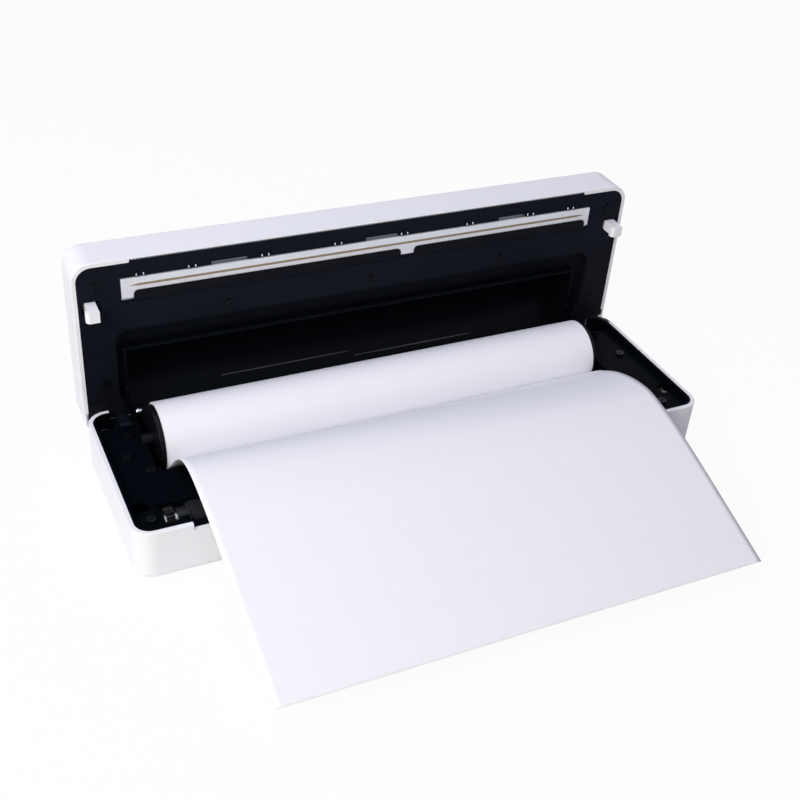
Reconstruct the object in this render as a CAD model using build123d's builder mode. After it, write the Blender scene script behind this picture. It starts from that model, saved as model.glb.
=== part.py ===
"""Portable A4 thermal printer, standing open with a sheet drawn from its paper roll.

+X runs along the case, +Y from the front wall to the hinge and +Z up. The origin lies on the plane
that the feet stand on, under the middle of the printer with its sheet and its open lid.

Inside the file a place is given by x, by its depth behind the case's front face and by its height
above the rim where lid and base meet. The same x and depth hold for both halves, because the lid's
own plane lays it shut on the base: closing the lid brings equal depths together.
"""

import math
import os

from build123d import *

# case
case_end = 28.0
roll_to_back = 22.5
base_height = 23.5
shell_wall = 1.9
corner_radius = 8.4
base_edge_radius = 2.5
lid_edge_radius = 3.0
rim_edge_radius = 0.4
lid_gap = 0.3
fit_gap = 0.1

# feet
foot_height = 1.5
foot_radius = 5.0
foot_seat = 0.8
foot_inset_x = 14.0
foot_inset_y = 12.0

# liners
liner_wall = 1.6
skirt_wall = 1.2
skirt_depth = 7.0
deck_drop = 3.0
exit_overhang = 4.6

# hinge
hinge_inset = 6.05
hinge_drop = 6.15
hinge_pin_radius = 1.25
hinge_running_gap = 0.05
arm_radius = 3.0
arm_width = 5.0
arm_thickness = 5.1
arm_beyond_paper = 12.05
ear_radius = 3.2
ear_thickness = 2.0
ear_gap = 0.3
hinge_notch_margin = 0.9
hinge_notch_depth = 4.4
arm_slot_depth = 10.5
hinge_cap_thickness = 1.2
swing_gap = 0.3

# paper roll and its trough
paper_width = 210.0
paper_roll_radius = 15.3
roll_x = -2.0
core_radius = 7.45
core_wall = 1.1
cap_flange_radius = 14.5
cap_flange_thickness = 2.0
cap_plug_length = 10.0
cap_stub_radius = 3.0
cap_gap = 0.2
trough_gap = 1.3
lid_trough_gap = 3.0
trough_floor_gap = 0.9
trough_roof_gap = 1.2
trough_wall = 1.5
trough_end_gap = 3.5
lip_length = 5.0
cradle_gap = 0.1

# sheet
sheet_thickness = 0.3
sheet_peel_angle = 219.0
sheet_peel_gap = 0.3
sheet_crest_depth = 12.6
sheet_crest_height = 13.9
sheet_fall_depth = -22.0
sheet_overhang = 85.6
sheet_end_height = -14.0
sheet_slope = 18.5

# platen and its drive
platen_radius = 6.0
platen_overhang = 3.0
platen_depth = 12.4
platen_clearance = 0.2
platen_shaft_radius = 3.0
channel_gap = 1.2
channel_wall = 1.5
bush_wall = 1.5
bush_flange = 1.0
bush_running_gap = 0.05
bearing_gap = 1.2
bearing_thickness = 4.0
bearing_top = 1.2
shaft_end_gap = 0.5
gear_module = 0.6
gear_width = 3.5
gear_backlash = 0.12
gear_centre_gap = 0.1
gear_offset = 1.0
platen_teeth = 16
idler_teeth = 24
pinion_teeth = 10
pressure_angle = 20.0
post_radius = 1.5
motor_radius = 7.4
motor_length = 12.0
motor_to_trough = 3.76
motor_floor_gap = 1.1
motor_shaft_radius = 0.75
bracket_thickness = 1.0

# print head
head_overhang = 8.0
head_front_depth = 9.1
head_back_depth = 18.2
head_thickness = 1.0
head_proud = 0.15
head_cover_depth = 14.9
head_cover_overhang = 1.3
head_cover_proud = 0.45
head_cover_corner = 2.0
head_end_tab = 5.0
head_middle_tab_x = 16.7
head_middle_tab = 6.6
head_right_tab = 2.2
heatsink_front_depth = 7.2
heatsink_back_depth = 22.0
heatsink_top = 4.5
heatsink_ledge_gap = 0.1
head_window_gap = 0.5
head_window_front = 8.6
head_peep_half_width = 8.0
head_peeps = (-66.5, 4.0, 71.0)
head_travel = 1.0
head_travel_gap = 0.6
head_spring_radius = 2.0
head_spring_wire = 0.3
head_spring_xs = (-90.0, -30.0, 30.0, 90.0)
guide_rib_xs = (-105.0, -83.0, -51.0, -17.5, 14.5, 47.5, 79.5, 101.5)
guide_rib_spacing = 3.0
guide_rib_size = 0.9
cable_width = 7.0
cable_thickness = 0.3

# tear bar
tear_overhang = 4.0
tear_tip_depth = 0.2
tear_tooth_pitch = 1.25
tear_tooth_height = 0.9
tear_back_depth = 6.4
tear_proud = 0.2
tear_thickness = 0.9

# lid recess around the roll
recess_overhang = 12.0
recess_before_roll = 28.5
recess_behind_roll = 9.1
recess_depth = 3.0
recess_corner = 6.0

# latch
hook_inset = 6.9
hook_depth = 20.2
hook_width = 4.3
hook_length = 5.0
hook_reach = 8.3
hook_barb = 1.2
hook_barb_height = 2.7
latch_travel = 1.5
latch_gap = 0.4
latch_bar_thickness = 2.0
latch_bar_width = 4.4
latch_guide_thickness = 2.0
latch_guide_gap = 0.2
latch_guide_margin = 1.4
latch_guide_xs = (-60.0, 60.0)
slider_x = 96.0
slider_length = 14.0
slider_width = 5.0
slider_proud = 0.8
latch_spring_x = 20.0
latch_spring_radius = 1.8
latch_spring_wire = 0.35
latch_spring_length = 14.0

# electronics
battery_size = (100.0, 21.0, 12.0)
battery_x = -14.0
battery_before_roll = 29.9
board_width = 15.0
board_length = 58.0
board_thickness = 1.6
board_depth = 42.0
board_height = -17.5
usb_width = 8.94
usb_height = 3.26
usb_length = 7.3
usb_shell = 0.3
usb_depth = 30.0
usb_proud = 0.2
button_depth = 50.0
button_radius = 3.5
button_travel = 0.6
button_gap = 0.3
switch_size = 6.0
light_behind_button = 10.0
light_radius = 1.0
sensor_x = 24.0
sensor_depth = 31.0
sensor_length = 6.0
sensor_width = 4.0

# fasteners
screw_radius = 1.0
screw_head_radius = 2.0
screw_head_height = 1.2
screw_length = 6.0
screw_recess_width = 0.5
screw_recess_depth = 0.6
boss_radius = 3.0
middle_screw_pitch = 67.0
middle_screw_gap = 4.7
floor_screw_xs = (-80.0, 50.0)
front_screw_inset = 9.6
back_screw_inset = 10.4
pocket_screw_inset = 14.2
board_screw_inset = 20.7
deck_screw_depth = 11.0
screw_before_roll = 9.4
screw_behind_roll = 4.6
lid_screw_before_roll = 3.0
end_screw_behind = 2.0

# places that follow from the sizes above
case_width = paper_width + 2 * case_end
case_half = case_width / 2
paper_half = paper_width / 2
arm_x = paper_half + arm_beyond_paper
hinge_notch_half_width = arm_x + arm_thickness / 2 + ear_gap + ear_thickness + hinge_notch_margin
exit_half_width = paper_half + exit_overhang
platen_half_length = paper_half + platen_overhang
bearing_inner_x = platen_half_length + bearing_gap
head_half_width = paper_half + head_overhang
tear_half_width = paper_half + tear_overhang
recess_half_width = paper_half + recess_overhang
hook_x = case_half - hook_inset


def pitch_radius(teeth):
    """Radius of a gear's pitch circle."""
    return gear_module * teeth / 2


# gear centres, as depth and height, and the turn that puts the teeth in mesh
floor_height = shell_wall - base_height
platen_height = -platen_radius - platen_clearance
idler_height = floor_height + motor_radius + motor_floor_gap
platen_to_idler = pitch_radius(platen_teeth) + pitch_radius(idler_teeth) + gear_centre_gap
idler_to_pinion = pitch_radius(idler_teeth) + pitch_radius(pinion_teeth) + gear_centre_gap
idler_depth = platen_depth + math.sqrt(platen_to_idler**2 - (idler_height - platen_height) ** 2)
pinion_depth = idler_depth + idler_to_pinion
platen_phase = math.atan2(idler_height - platen_height, idler_depth - platen_depth)
idler_phase = platen_phase + math.pi - math.pi / idler_teeth
idler_share = (-idler_phase / (2 * math.pi / idler_teeth)) % 1.0
pinion_phase = math.pi - (0.5 - idler_share) * 2 * math.pi / pinion_teeth

# the roll lies behind the motor, and the case ends behind the roll
trough_radius = paper_roll_radius + trough_gap
trough_outer_radius = trough_radius + trough_wall
lid_trough_radius = paper_roll_radius + lid_trough_gap
roll_drop = -floor_height - trough_outer_radius - trough_floor_gap
lid_roll_height = -roll_drop - lid_gap
lid_height = lid_roll_height + lid_trough_radius + trough_wall + trough_roof_gap + shell_wall
roll_depth = pinion_depth + motor_radius + motor_to_trough + trough_outer_radius
case_depth = roll_depth + roll_to_back
recess_front_depth = roll_depth - recess_before_roll
recess_back_depth = roll_depth + recess_behind_roll
battery_depth = roll_depth - battery_before_roll
hinge_depth = case_depth - hinge_inset
rim_z = foot_height + base_height
hinge_z = rim_z - hinge_drop
lid_rise = hinge_drop + lid_gap
total_length = sheet_overhang + hinge_depth + lid_rise + lid_height + slider_proud
front_y = sheet_overhang - total_length / 2
hinge_y = front_y + hinge_depth
hinge_pin_length = arm_thickness + 2 * (ear_gap + ear_thickness)
lip_start = roll_depth - trough_radius - lip_length
lip_run = lip_length + liner_wall
cradle_radius = cap_stub_radius + cradle_gap
trough_half_length = paper_width / 2 + cap_flange_thickness + cap_gap + trough_end_gap
trough_left = roll_x - trough_half_length
trough_right = roll_x + trough_half_length
cap_stub_length = trough_end_gap + trough_wall
roll_left = roll_x - paper_width / 2
roll_right = roll_x + paper_width / 2
hinge_lid_height = -lid_rise
bush_radius = platen_shaft_radius + bush_running_gap + bush_wall
gear_x = -bearing_inner_x - bearing_thickness - gear_offset - gear_width
channel_radius = platen_radius + channel_gap
channel_outer_radius = channel_radius + channel_wall
bearing_back = platen_depth + bush_radius + liner_wall
inner_half_width = case_half - shell_wall
lid_inside = lid_height - shell_wall
latch_bar_height = heatsink_top + head_travel + head_travel_gap + latch_guide_margin
latch_bar_top = latch_bar_height + latch_bar_thickness
spring_outer_radius = latch_spring_radius + latch_spring_wire
spring_height = latch_bar_top + spring_outer_radius + latch_guide_gap
swing_radius = math.hypot(hinge_inset, hinge_drop) + swing_gap

# gear bay in the deck and the cover over its back part
bay_right = -bearing_inner_x - bearing_thickness
bay_left = gear_x - gear_offset
bay_back = pinion_depth + pitch_radius(pinion_teeth) + gear_module + gear_offset
cover_screw_at = (((bay_left + bay_right) / 2, bay_back + screw_head_radius),)
cover_back = bay_back + 2 * screw_head_radius + fit_gap

# heights of the button and the light over the board
button_height = board_height + board_thickness + button_radius + button_gap
light_depth = button_depth + light_behind_button

# screws: those at the ends keep their distance from them
front_screw_x = case_half - front_screw_inset
back_screw_x = case_half - back_screw_inset
deck_screws_at = (
    (-front_screw_x, deck_screw_depth),
    (-back_screw_x, roll_depth - screw_before_roll),
    (-case_half + pocket_screw_inset, roll_depth + screw_behind_roll),
    (case_half - pocket_screw_inset, deck_screw_depth),
    (back_screw_x, roll_depth - screw_before_roll),
)
middle_screw_depth = recess_front_depth - middle_screw_gap
lid_screws_at = (
    (-front_screw_x, deck_screw_depth),
    (-middle_screw_pitch, middle_screw_depth),
    (0.0, middle_screw_depth),
    (middle_screw_pitch, middle_screw_depth),
    (front_screw_x, deck_screw_depth),
    (-back_screw_x, roll_depth - lid_screw_before_roll),
    (back_screw_x, roll_depth - lid_screw_before_roll),
)
base_screws_at = (
    (-front_screw_x, battery_depth + end_screw_behind),
    (floor_screw_xs[0], battery_depth),
    (floor_screw_xs[1], battery_depth),
    (case_half - board_screw_inset, battery_depth + end_screw_behind),
)

# planes
base_frame = Plane(origin=(0, front_y, rim_z), x_dir=(1, 0, 0), z_dir=(0, 0, 1))
lid_frame = Plane(origin=(0, hinge_y + lid_rise, hinge_z + hinge_depth), x_dir=(1, 0, 0), z_dir=(0, 1, 0))


def base_plane(height):
    """Level plane at a height above the base's rim; x is across and y the depth."""
    return base_frame.offset(height)


def lid_plane(height):
    """The same for the lid: height counts from its rim into the lid."""
    return lid_frame.offset(height)


def base_section(x):
    """Upright plane across the base at x; its axes are depth and height, and it faces +X."""
    return Plane(origin=(x, front_y, rim_z), x_dir=(0, 1, 0), z_dir=(1, 0, 0))


def lid_section(x):
    """Upright plane across the lid at x; its axes are depth and height in the lid, and it faces +X."""
    return Plane(origin=(x, hinge_y + lid_rise, hinge_z + hinge_depth), x_dir=(0, 0, -1), z_dir=(1, 0, 0))


def lid_across(depth):
    """Plane across the lid at a depth; its axes are x and height, and it faces the lid's front."""
    return Plane(origin=(0, hinge_y + lid_rise, hinge_z + hinge_depth - depth), z_dir=(0, 0, 1))


def case_outline(inset):
    """The case's rounded rectangle, drawn a distance inside its outer face."""
    with Locations((0, case_depth / 2)):
        RectangleRounded(case_width - 2 * inset, case_depth - 2 * inset, corner_radius - inset)


def block(left, right, front, back, mode=Mode.ADD):
    """A rectangle between two x and two depths, or between two depths and two heights."""
    with Locations(((left + right) / 2, (front + back) / 2)):
        Rectangle(right - left, back - front, mode=mode)


def disc(across, up, radius, mode=Mode.ADD):
    """A circle at a point of the sketch."""
    with Locations((across, up)):
        Circle(radius, mode=mode)


def discs(places, radius, mode=Mode.ADD):
    """One circle at each place."""
    with Locations(*places):
        Circle(radius, mode=mode)


def gear_outline(depth, height, teeth, phase):
    """A spur gear with straight flanks; a tooth's centre lies at the phase angle."""
    reference = pitch_radius(teeth)
    tip = reference + 0.9 * gear_module
    root = reference - 1.2 * gear_module
    half_tooth = (math.pi * gear_module / 2 - gear_backlash) / 2
    slope = math.tan(math.radians(pressure_angle))
    points = []
    for tooth in range(teeth):
        middle = phase + 2 * math.pi * tooth / teeth
        for radius, side in ((root, -1), (tip, -1), (tip, 1), (root, 1)):
            angle = middle + side * (half_tooth - (radius - reference) * slope) / radius
            points.append((depth + radius * math.cos(angle), height + radius * math.sin(angle)))
    Polygon(*points, align=None)


def write(piece, name):
    """Labels a finished piece and writes its file."""
    piece.part.label = name
    export_step(piece.part, f"parts/{name}.step")


os.makedirs("parts", exist_ok=True)

# ---- base ----

foot_places = [
    (side * (case_half - foot_inset_x), depth)
    for side in (-1, 1)
    for depth in (foot_inset_y, case_depth - foot_inset_y)
]

with BuildPart() as base_shell:
    with BuildSketch(base_plane(-base_height)):
        case_outline(0)
    extrude(amount=base_height)
    fillet(base_shell.edges().group_by(Axis.Z)[0], radius=base_edge_radius)
    fillet(base_shell.edges().group_by(Axis.Z)[-1], radius=rim_edge_radius)
    with BuildSketch(base_plane(floor_height)):
        case_outline(shell_wall)
    extrude(amount=-floor_height, mode=Mode.SUBTRACT)
    # paper exit in the front wall
    with BuildSketch(base_plane(-deck_drop)):
        block(-exit_half_width, exit_half_width, -shell_wall, shell_wall)
    extrude(amount=deck_drop, mode=Mode.SUBTRACT)
    # low stretch of the back wall for the lid's edge, with a deeper slot for each arm
    notch_half = hinge_notch_half_width
    with BuildSketch(base_plane(-hinge_notch_depth)):
        block(-notch_half, notch_half, case_depth - shell_wall, case_depth + shell_wall)
    extrude(amount=hinge_notch_depth, mode=Mode.SUBTRACT)
    arm_slot_half = arm_thickness / 2 + ear_gap
    with BuildSketch(base_plane(-arm_slot_depth)):
        for arm_middle in (-arm_x, arm_x):
            slot_left = arm_middle - arm_slot_half
            slot_right = arm_middle + arm_slot_half
            block(slot_left, slot_right, case_depth - shell_wall, case_depth + shell_wall)
    extrude(amount=arm_slot_depth, mode=Mode.SUBTRACT)
    # bosses that the base screws turn through
    with BuildSketch(base_plane(floor_height)):
        discs(base_screws_at, boss_radius)
    extrude(amount=screw_length / 2)
    with BuildSketch(base_plane(-base_height)):
        discs(base_screws_at, screw_radius + fit_gap)
    extrude(amount=shell_wall + screw_length / 2, mode=Mode.SUBTRACT)
    with BuildSketch(base_plane(-base_height)):
        discs(base_screws_at, screw_head_radius + fit_gap)
    extrude(amount=screw_head_height + fit_gap, mode=Mode.SUBTRACT)
    # seats of the feet
    with BuildSketch(base_plane(-base_height)):
        discs(foot_places, foot_radius)
    extrude(amount=foot_seat, mode=Mode.SUBTRACT)
    # holes in the right wall: socket, button and light
    with BuildSketch(base_section(inner_half_width - fit_gap)):
        with Locations((usb_depth, board_height + board_thickness + usb_height / 2)):
            SlotOverall(usb_width + 2 * fit_gap, usb_height + 2 * fit_gap)
        disc(button_depth, button_height, button_radius + button_gap)
        disc(light_depth, button_height, light_radius)
    extrude(amount=shell_wall + 2 * fit_gap, mode=Mode.SUBTRACT)
write(base_shell, "base_shell")

with BuildPart() as base_liner:
    # skirt inside the shell's wall
    with BuildSketch(base_plane(-skirt_depth)):
        case_outline(shell_wall + fit_gap)
        case_skirt = shell_wall + fit_gap + skirt_wall
        with Locations((0, case_depth / 2)):
            RectangleRounded(
                case_width - 2 * case_skirt,
                case_depth - 2 * case_skirt,
                corner_radius - case_skirt,
                mode=Mode.SUBTRACT,
            )
    extrude(amount=skirt_depth)
    # deck
    pocket_front = hinge_depth - ear_radius - ear_gap - liner_wall
    with BuildSketch(base_plane(-deck_drop - liner_wall)):
        case_outline(shell_wall + fit_gap)
        block(-case_width, case_width, pocket_front + liner_wall, case_depth, Mode.SUBTRACT)
        block(trough_left, trough_right, roll_depth - trough_radius, case_depth, Mode.SUBTRACT)
    extrude(amount=liner_wall)
    # trough and platen channel
    with BuildSketch(base_section(trough_left - trough_wall)):
        disc(roll_depth, -roll_drop, trough_outer_radius)
        block(0, case_depth, -roll_drop + trough_wall, case_depth, Mode.SUBTRACT)
        block(0, roll_depth, -deck_drop, case_depth, Mode.SUBTRACT)
    extrude(amount=2 * (trough_half_length + trough_wall))
    # the trough's front lip slopes where the paper comes off the roll
    with BuildSketch(base_section(trough_left)):
        Polygon(
            (lip_start - liner_wall, -deck_drop),
            (lip_start + lip_run, -deck_drop),
            (lip_start + lip_run, -deck_drop - lip_run - 2 * liner_wall),
            (lip_start - liner_wall, -deck_drop - liner_wall),
            align=None,
        )
    extrude(amount=2 * trough_half_length)
    with BuildSketch(base_section(trough_left)):
        Polygon(
            (lip_start, -deck_drop),
            (lip_start + lip_run, -deck_drop),
            (lip_start + lip_run, -deck_drop - lip_run),
            align=None,
        )
    extrude(amount=2 * trough_half_length, mode=Mode.SUBTRACT)
    with BuildSketch(base_section(-bearing_inner_x)):
        disc(platen_depth, platen_height, channel_outer_radius)
        block(-case_depth, case_depth, -deck_drop, case_depth, Mode.SUBTRACT)
    extrude(amount=2 * bearing_inner_x)
    # bearing blocks
    for side_x in (-bearing_inner_x - bearing_thickness, bearing_inner_x):
        with BuildSketch(base_section(side_x)):
            block(
                platen_depth - channel_outer_radius,
                bearing_back,
                platen_height - channel_outer_radius,
                -bearing_top,
            )
        extrude(amount=bearing_thickness)
    # hinge pockets at both ends and the cap over the low back wall
    pocket_top = hinge_cap_thickness - arm_slot_depth
    liner_half_width = inner_half_width - fit_gap
    for left, right in ((-liner_half_width, trough_left), (trough_right, liner_half_width)):
        with BuildSketch(base_plane(-arm_slot_depth)):
            case_outline(shell_wall + fit_gap)
            block(left, right, pocket_front, case_depth, Mode.INTERSECT)
        extrude(amount=hinge_cap_thickness)
        with BuildSketch(base_plane(-arm_slot_depth)):
            block(left, right, pocket_front, pocket_front + liner_wall)
        extrude(amount=arm_slot_depth - deck_drop)
    with BuildSketch(base_plane(-hinge_notch_depth)):
        cap_back = case_depth - shell_wall - fit_gap
        block(trough_left - trough_wall, trough_right + trough_wall, roll_depth + trough_radius, cap_back)
    extrude(amount=hinge_cap_thickness)
    # bores of the trough and the channel
    with BuildSketch(base_section(trough_left)):
        disc(roll_depth, -roll_drop, trough_radius)
    extrude(amount=2 * trough_half_length, mode=Mode.SUBTRACT)
    with BuildSketch(base_section(-bearing_inner_x)):
        disc(platen_depth, platen_height, channel_radius)
    extrude(amount=2 * bearing_inner_x, mode=Mode.SUBTRACT)
    # cradles of the roll's stubs, open upwards
    for cradle_x in (trough_left - trough_wall, trough_right):
        with BuildSketch(base_section(cradle_x)):
            disc(roll_depth, -roll_drop, cradle_radius)
            block(roll_depth - cradle_radius, roll_depth + cradle_radius, -roll_drop, skirt_wall)
        extrude(amount=trough_wall, mode=Mode.SUBTRACT)
    # seats of the bushes, open upwards
    for side_x in (-bearing_inner_x - bearing_thickness, bearing_inner_x):
        with BuildSketch(base_section(side_x)):
            disc(platen_depth, platen_height, bush_radius)
            block(platen_depth - bush_radius, platen_depth + bush_radius, platen_height, 0)
        extrude(amount=bearing_thickness, mode=Mode.SUBTRACT)
    # gear bay, catch slots and the way of the paper through the skirt
    with BuildSketch(base_plane(-skirt_depth)):
        block(bay_left, bay_right, platen_depth - channel_radius, bay_back)
        for side in (-1, 1):
            slot_left = side * hook_x - hook_width / 2 - latch_gap
            slot_right = side * hook_x + hook_width / 2 + latch_travel + latch_gap
            slot_half = hook_length / 2 + latch_gap
            block(slot_left, slot_right, hook_depth - slot_half, hook_depth + slot_half)
    extrude(amount=skirt_depth - deck_drop, mode=Mode.SUBTRACT)
    # groove in the right skirt for the drawn hook
    with BuildSketch(base_plane(-deck_drop)):
        block(hook_x, slot_right, hook_depth - slot_half, hook_depth + slot_half)
    extrude(amount=deck_drop, mode=Mode.SUBTRACT)
    with BuildSketch(base_plane(-deck_drop)):
        block(-exit_half_width, exit_half_width, 0, platen_depth - channel_radius)
        cut_half_width = hinge_notch_half_width
        block(-cut_half_width, cut_half_width, hinge_depth + arm_radius - skirt_wall, case_depth)
    extrude(amount=deck_drop, mode=Mode.SUBTRACT)
    with BuildSketch(base_plane(-skirt_depth)):
        block(-cut_half_width, cut_half_width, case_depth - case_skirt - fit_gap, case_depth)
    extrude(amount=skirt_depth, mode=Mode.SUBTRACT)
    # ears that hold the hinge pins
    for side in (-1, 1):
        for offset in (-1, 1):
            ear_middle = side * arm_x + offset * (arm_thickness / 2 + ear_gap + ear_thickness / 2)
            with BuildSketch(base_section(ear_middle - ear_thickness / 2)):
                disc(hinge_depth, -hinge_drop, ear_radius)
                block(hinge_depth - ear_radius, hinge_depth + ear_radius, pocket_top, -hinge_drop)
            extrude(amount=ear_thickness)
        with BuildSketch(base_section(side * arm_x - hinge_pin_length / 2)):
            disc(hinge_depth, -hinge_drop, hinge_pin_radius)
        extrude(amount=hinge_pin_length, mode=Mode.SUBTRACT)
    # holes of the deck screws, the cover screws and the sensor
    with BuildSketch(base_plane(-deck_drop - liner_wall)):
        discs(deck_screws_at, screw_radius)
        discs(cover_screw_at, screw_radius)
        block(
            sensor_x - sensor_length / 2,
            sensor_x + sensor_length / 2,
            sensor_depth - sensor_width / 2,
            sensor_depth + sensor_width / 2,
        )
    extrude(amount=liner_wall, mode=Mode.SUBTRACT)
    # bosses down to the shell's bosses
    boss_bottom = floor_height + screw_length / 2
    with BuildSketch(base_plane(boss_bottom)):
        discs(base_screws_at, boss_radius)
        discs(base_screws_at, screw_radius, Mode.SUBTRACT)
    extrude(amount=-deck_drop - liner_wall - boss_bottom)
write(base_liner, "base_liner")

with BuildPart() as gear_cover:
    with BuildSketch(base_plane(-deck_drop)):
        block(bay_left - liner_wall, bay_right + liner_wall, bearing_back + fit_gap, cover_back)
        discs(cover_screw_at, screw_radius, Mode.SUBTRACT)
    extrude(amount=skirt_wall)
write(gear_cover, "gear_cover")

with BuildPart() as rubber_feet:
    with BuildSketch(base_plane(-base_height - foot_height)):
        discs(foot_places, foot_radius - fit_gap)
    extrude(amount=foot_height + foot_seat)
    chamfer(rubber_feet.edges().group_by(Axis.Z)[0], length=rim_edge_radius)
write(rubber_feet, "rubber_feet")

# ---- platen and drive ----

shaft_left = gear_x - shaft_end_gap
shaft_right = bearing_inner_x + bearing_thickness

with BuildPart() as platen_roller:
    with BuildSketch(base_section(-platen_half_length)):
        disc(platen_depth, platen_height, platen_radius)
        disc(platen_depth, platen_height, platen_shaft_radius, Mode.SUBTRACT)
    extrude(amount=2 * platen_half_length)
write(platen_roller, "platen_roller")

with BuildPart() as platen_shaft:
    with BuildSketch(base_section(shaft_left)):
        disc(platen_depth, platen_height, platen_shaft_radius)
    extrude(amount=shaft_right - shaft_left)
write(platen_shaft, "platen_shaft")

for bush_name, bush_x, flange_x in (
    ("platen_bush_left", -bearing_inner_x - bearing_thickness, -bearing_inner_x),
    ("platen_bush_right", bearing_inner_x, bearing_inner_x - bush_flange),
):
    with BuildPart() as bush:
        with BuildSketch(base_section(bush_x)):
            disc(platen_depth, platen_height, bush_radius)
        extrude(amount=bearing_thickness)
        with BuildSketch(base_section(flange_x)):
            disc(platen_depth, platen_height, bush_radius + bush_flange)
        extrude(amount=bush_flange)
        with BuildSketch(base_section(bush_x - bush_flange)):
            disc(platen_depth, platen_height, platen_shaft_radius + bush_running_gap)
        extrude(amount=bearing_thickness + 2 * bush_flange, mode=Mode.SUBTRACT)
    write(bush, bush_name)

with BuildPart() as platen_gear:
    with BuildSketch(base_section(gear_x)):
        gear_outline(platen_depth, platen_height, platen_teeth, platen_phase)
        disc(platen_depth, platen_height, platen_shaft_radius, Mode.SUBTRACT)
    extrude(amount=gear_width)
write(platen_gear, "platen_gear")

with BuildPart() as idler_gear:
    with BuildSketch(base_section(gear_x)):
        gear_outline(idler_depth, idler_height, idler_teeth, idler_phase)
        disc(idler_depth, idler_height, post_radius + bush_running_gap, Mode.SUBTRACT)
    extrude(amount=gear_width)
write(idler_gear, "idler_gear")

bracket_x = bay_right - gear_offset / 2 + bracket_thickness

with BuildPart() as motor_bracket:
    with BuildSketch(base_section(bracket_x)):
        block(
            bearing_back + fit_gap,
            lip_start - liner_wall - fit_gap,
            floor_height,
            -deck_drop - liner_wall,
        )
        disc(pinion_depth, idler_height, post_radius, Mode.SUBTRACT)
        disc(idler_depth, idler_height, post_radius, Mode.SUBTRACT)
    extrude(amount=bracket_thickness)
write(motor_bracket, "motor_bracket")

with BuildPart() as idler_post:
    with BuildSketch(base_section(gear_x - shaft_end_gap)):
        disc(idler_depth, idler_height, post_radius)
    extrude(amount=bracket_x + bracket_thickness - gear_x + shaft_end_gap)
write(idler_post, "idler_post")

with BuildPart() as stepper_motor:
    with BuildSketch(base_section(bracket_x + bracket_thickness)):
        disc(pinion_depth, idler_height, motor_radius)
    extrude(amount=motor_length)
    chamfer(stepper_motor.edges().group_by(Axis.X)[-1], length=rim_edge_radius)
    with BuildSketch(base_section(bracket_x + bracket_thickness)):
        disc(pinion_depth, idler_height, motor_shaft_radius + bush_running_gap)
    extrude(amount=motor_length / 2, mode=Mode.SUBTRACT)
write(stepper_motor, "stepper_motor")

with BuildPart() as motor_pinion:
    with BuildSketch(base_section(gear_x)):
        gear_outline(pinion_depth, idler_height, pinion_teeth, pinion_phase)
    extrude(amount=gear_width)
    with BuildSketch(base_section(gear_x)):
        disc(pinion_depth, idler_height, motor_shaft_radius)
    extrude(amount=bracket_x + bracket_thickness - gear_x + motor_length / 2 - gear_offset)
write(motor_pinion, "motor_pinion")

# ---- electronics ----

with BuildPart() as battery_pack:
    with BuildSketch(base_plane(floor_height)):
        with Locations((battery_x, battery_depth)):
            Rectangle(battery_size[0], battery_size[1])
    extrude(amount=battery_size[2])
    fillet(battery_pack.edges().filter_by(Axis.X), radius=corner_radius / 4)
write(battery_pack, "battery_pack")

board_right = inner_half_width - fit_gap - usb_proud
board_left = board_right - board_width

with BuildPart() as main_board:
    with BuildSketch(base_plane(board_height)):
        block(board_left, board_right, board_depth - board_length / 2, board_depth + board_length / 2)
    extrude(amount=board_thickness)
    board_feet = [
        (board_left + post_radius, board_depth + end * (board_length / 2 - post_radius)) for end in (-1, 1)
    ]
    with BuildSketch(base_plane(floor_height)):
        discs(board_feet, post_radius)
    extrude(amount=board_height - floor_height)
write(main_board, "main_board")

usb_height_middle = board_height + board_thickness + usb_height / 2

with BuildPart() as usb_socket:
    with BuildSketch(base_section(case_half - usb_proud - usb_length)):
        with Locations((usb_depth, usb_height_middle)):
            SlotOverall(usb_width, usb_height)
            SlotOverall(usb_width - 2 * usb_shell, usb_height - 2 * usb_shell, mode=Mode.SUBTRACT)
    extrude(amount=usb_length)
    with BuildSketch(base_section(case_half - usb_proud - usb_length)):
        with Locations((usb_depth, usb_height_middle)):
            SlotOverall(usb_width, usb_height)
    extrude(amount=usb_shell)
    with BuildSketch(base_section(case_half - usb_proud - usb_length)):
        with Locations((usb_depth, usb_height_middle)):
            Rectangle(usb_width * 0.7, usb_height * 0.22)
    extrude(amount=usb_length - usb_proud * 2)
write(usb_socket, "usb_socket")

button_stem_x = case_half - shell_wall - button_travel - gear_offset

with BuildPart() as power_button:
    with BuildSketch(base_section(case_half - shell_wall)):
        disc(button_depth, button_height, button_radius)
    extrude(amount=shell_wall)
    fillet(power_button.edges().group_by(Axis.X)[-1], radius=rim_edge_radius)
    with BuildSketch(base_section(button_stem_x)):
        disc(button_depth, button_height, post_radius)
    extrude(amount=case_half - shell_wall - button_stem_x)
write(power_button, "power_button")

with BuildPart() as power_switch:
    switch_right = button_stem_x - button_travel - fit_gap
    with BuildSketch(base_plane(board_height + board_thickness)):
        block(
            switch_right - switch_size,
            switch_right,
            button_depth - switch_size / 2,
            button_depth + switch_size / 2,
        )
    extrude(amount=button_height + post_radius - board_height - board_thickness)
write(power_switch, "power_switch")

with BuildPart() as light_pipe:
    with BuildSketch(base_section(board_right - switch_size / 2)):
        disc(light_depth, button_height, light_radius - fit_gap / 2)
    extrude(amount=case_half - board_right + switch_size / 2)
    with BuildSketch(base_plane(board_height + board_thickness)):
        block(
            board_right - switch_size / 2,
            board_right - switch_size / 2 + light_radius,
            light_depth - light_radius,
            light_depth + light_radius,
        )
    extrude(amount=button_height - board_height - board_thickness)
write(light_pipe, "light_pipe")

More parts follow.
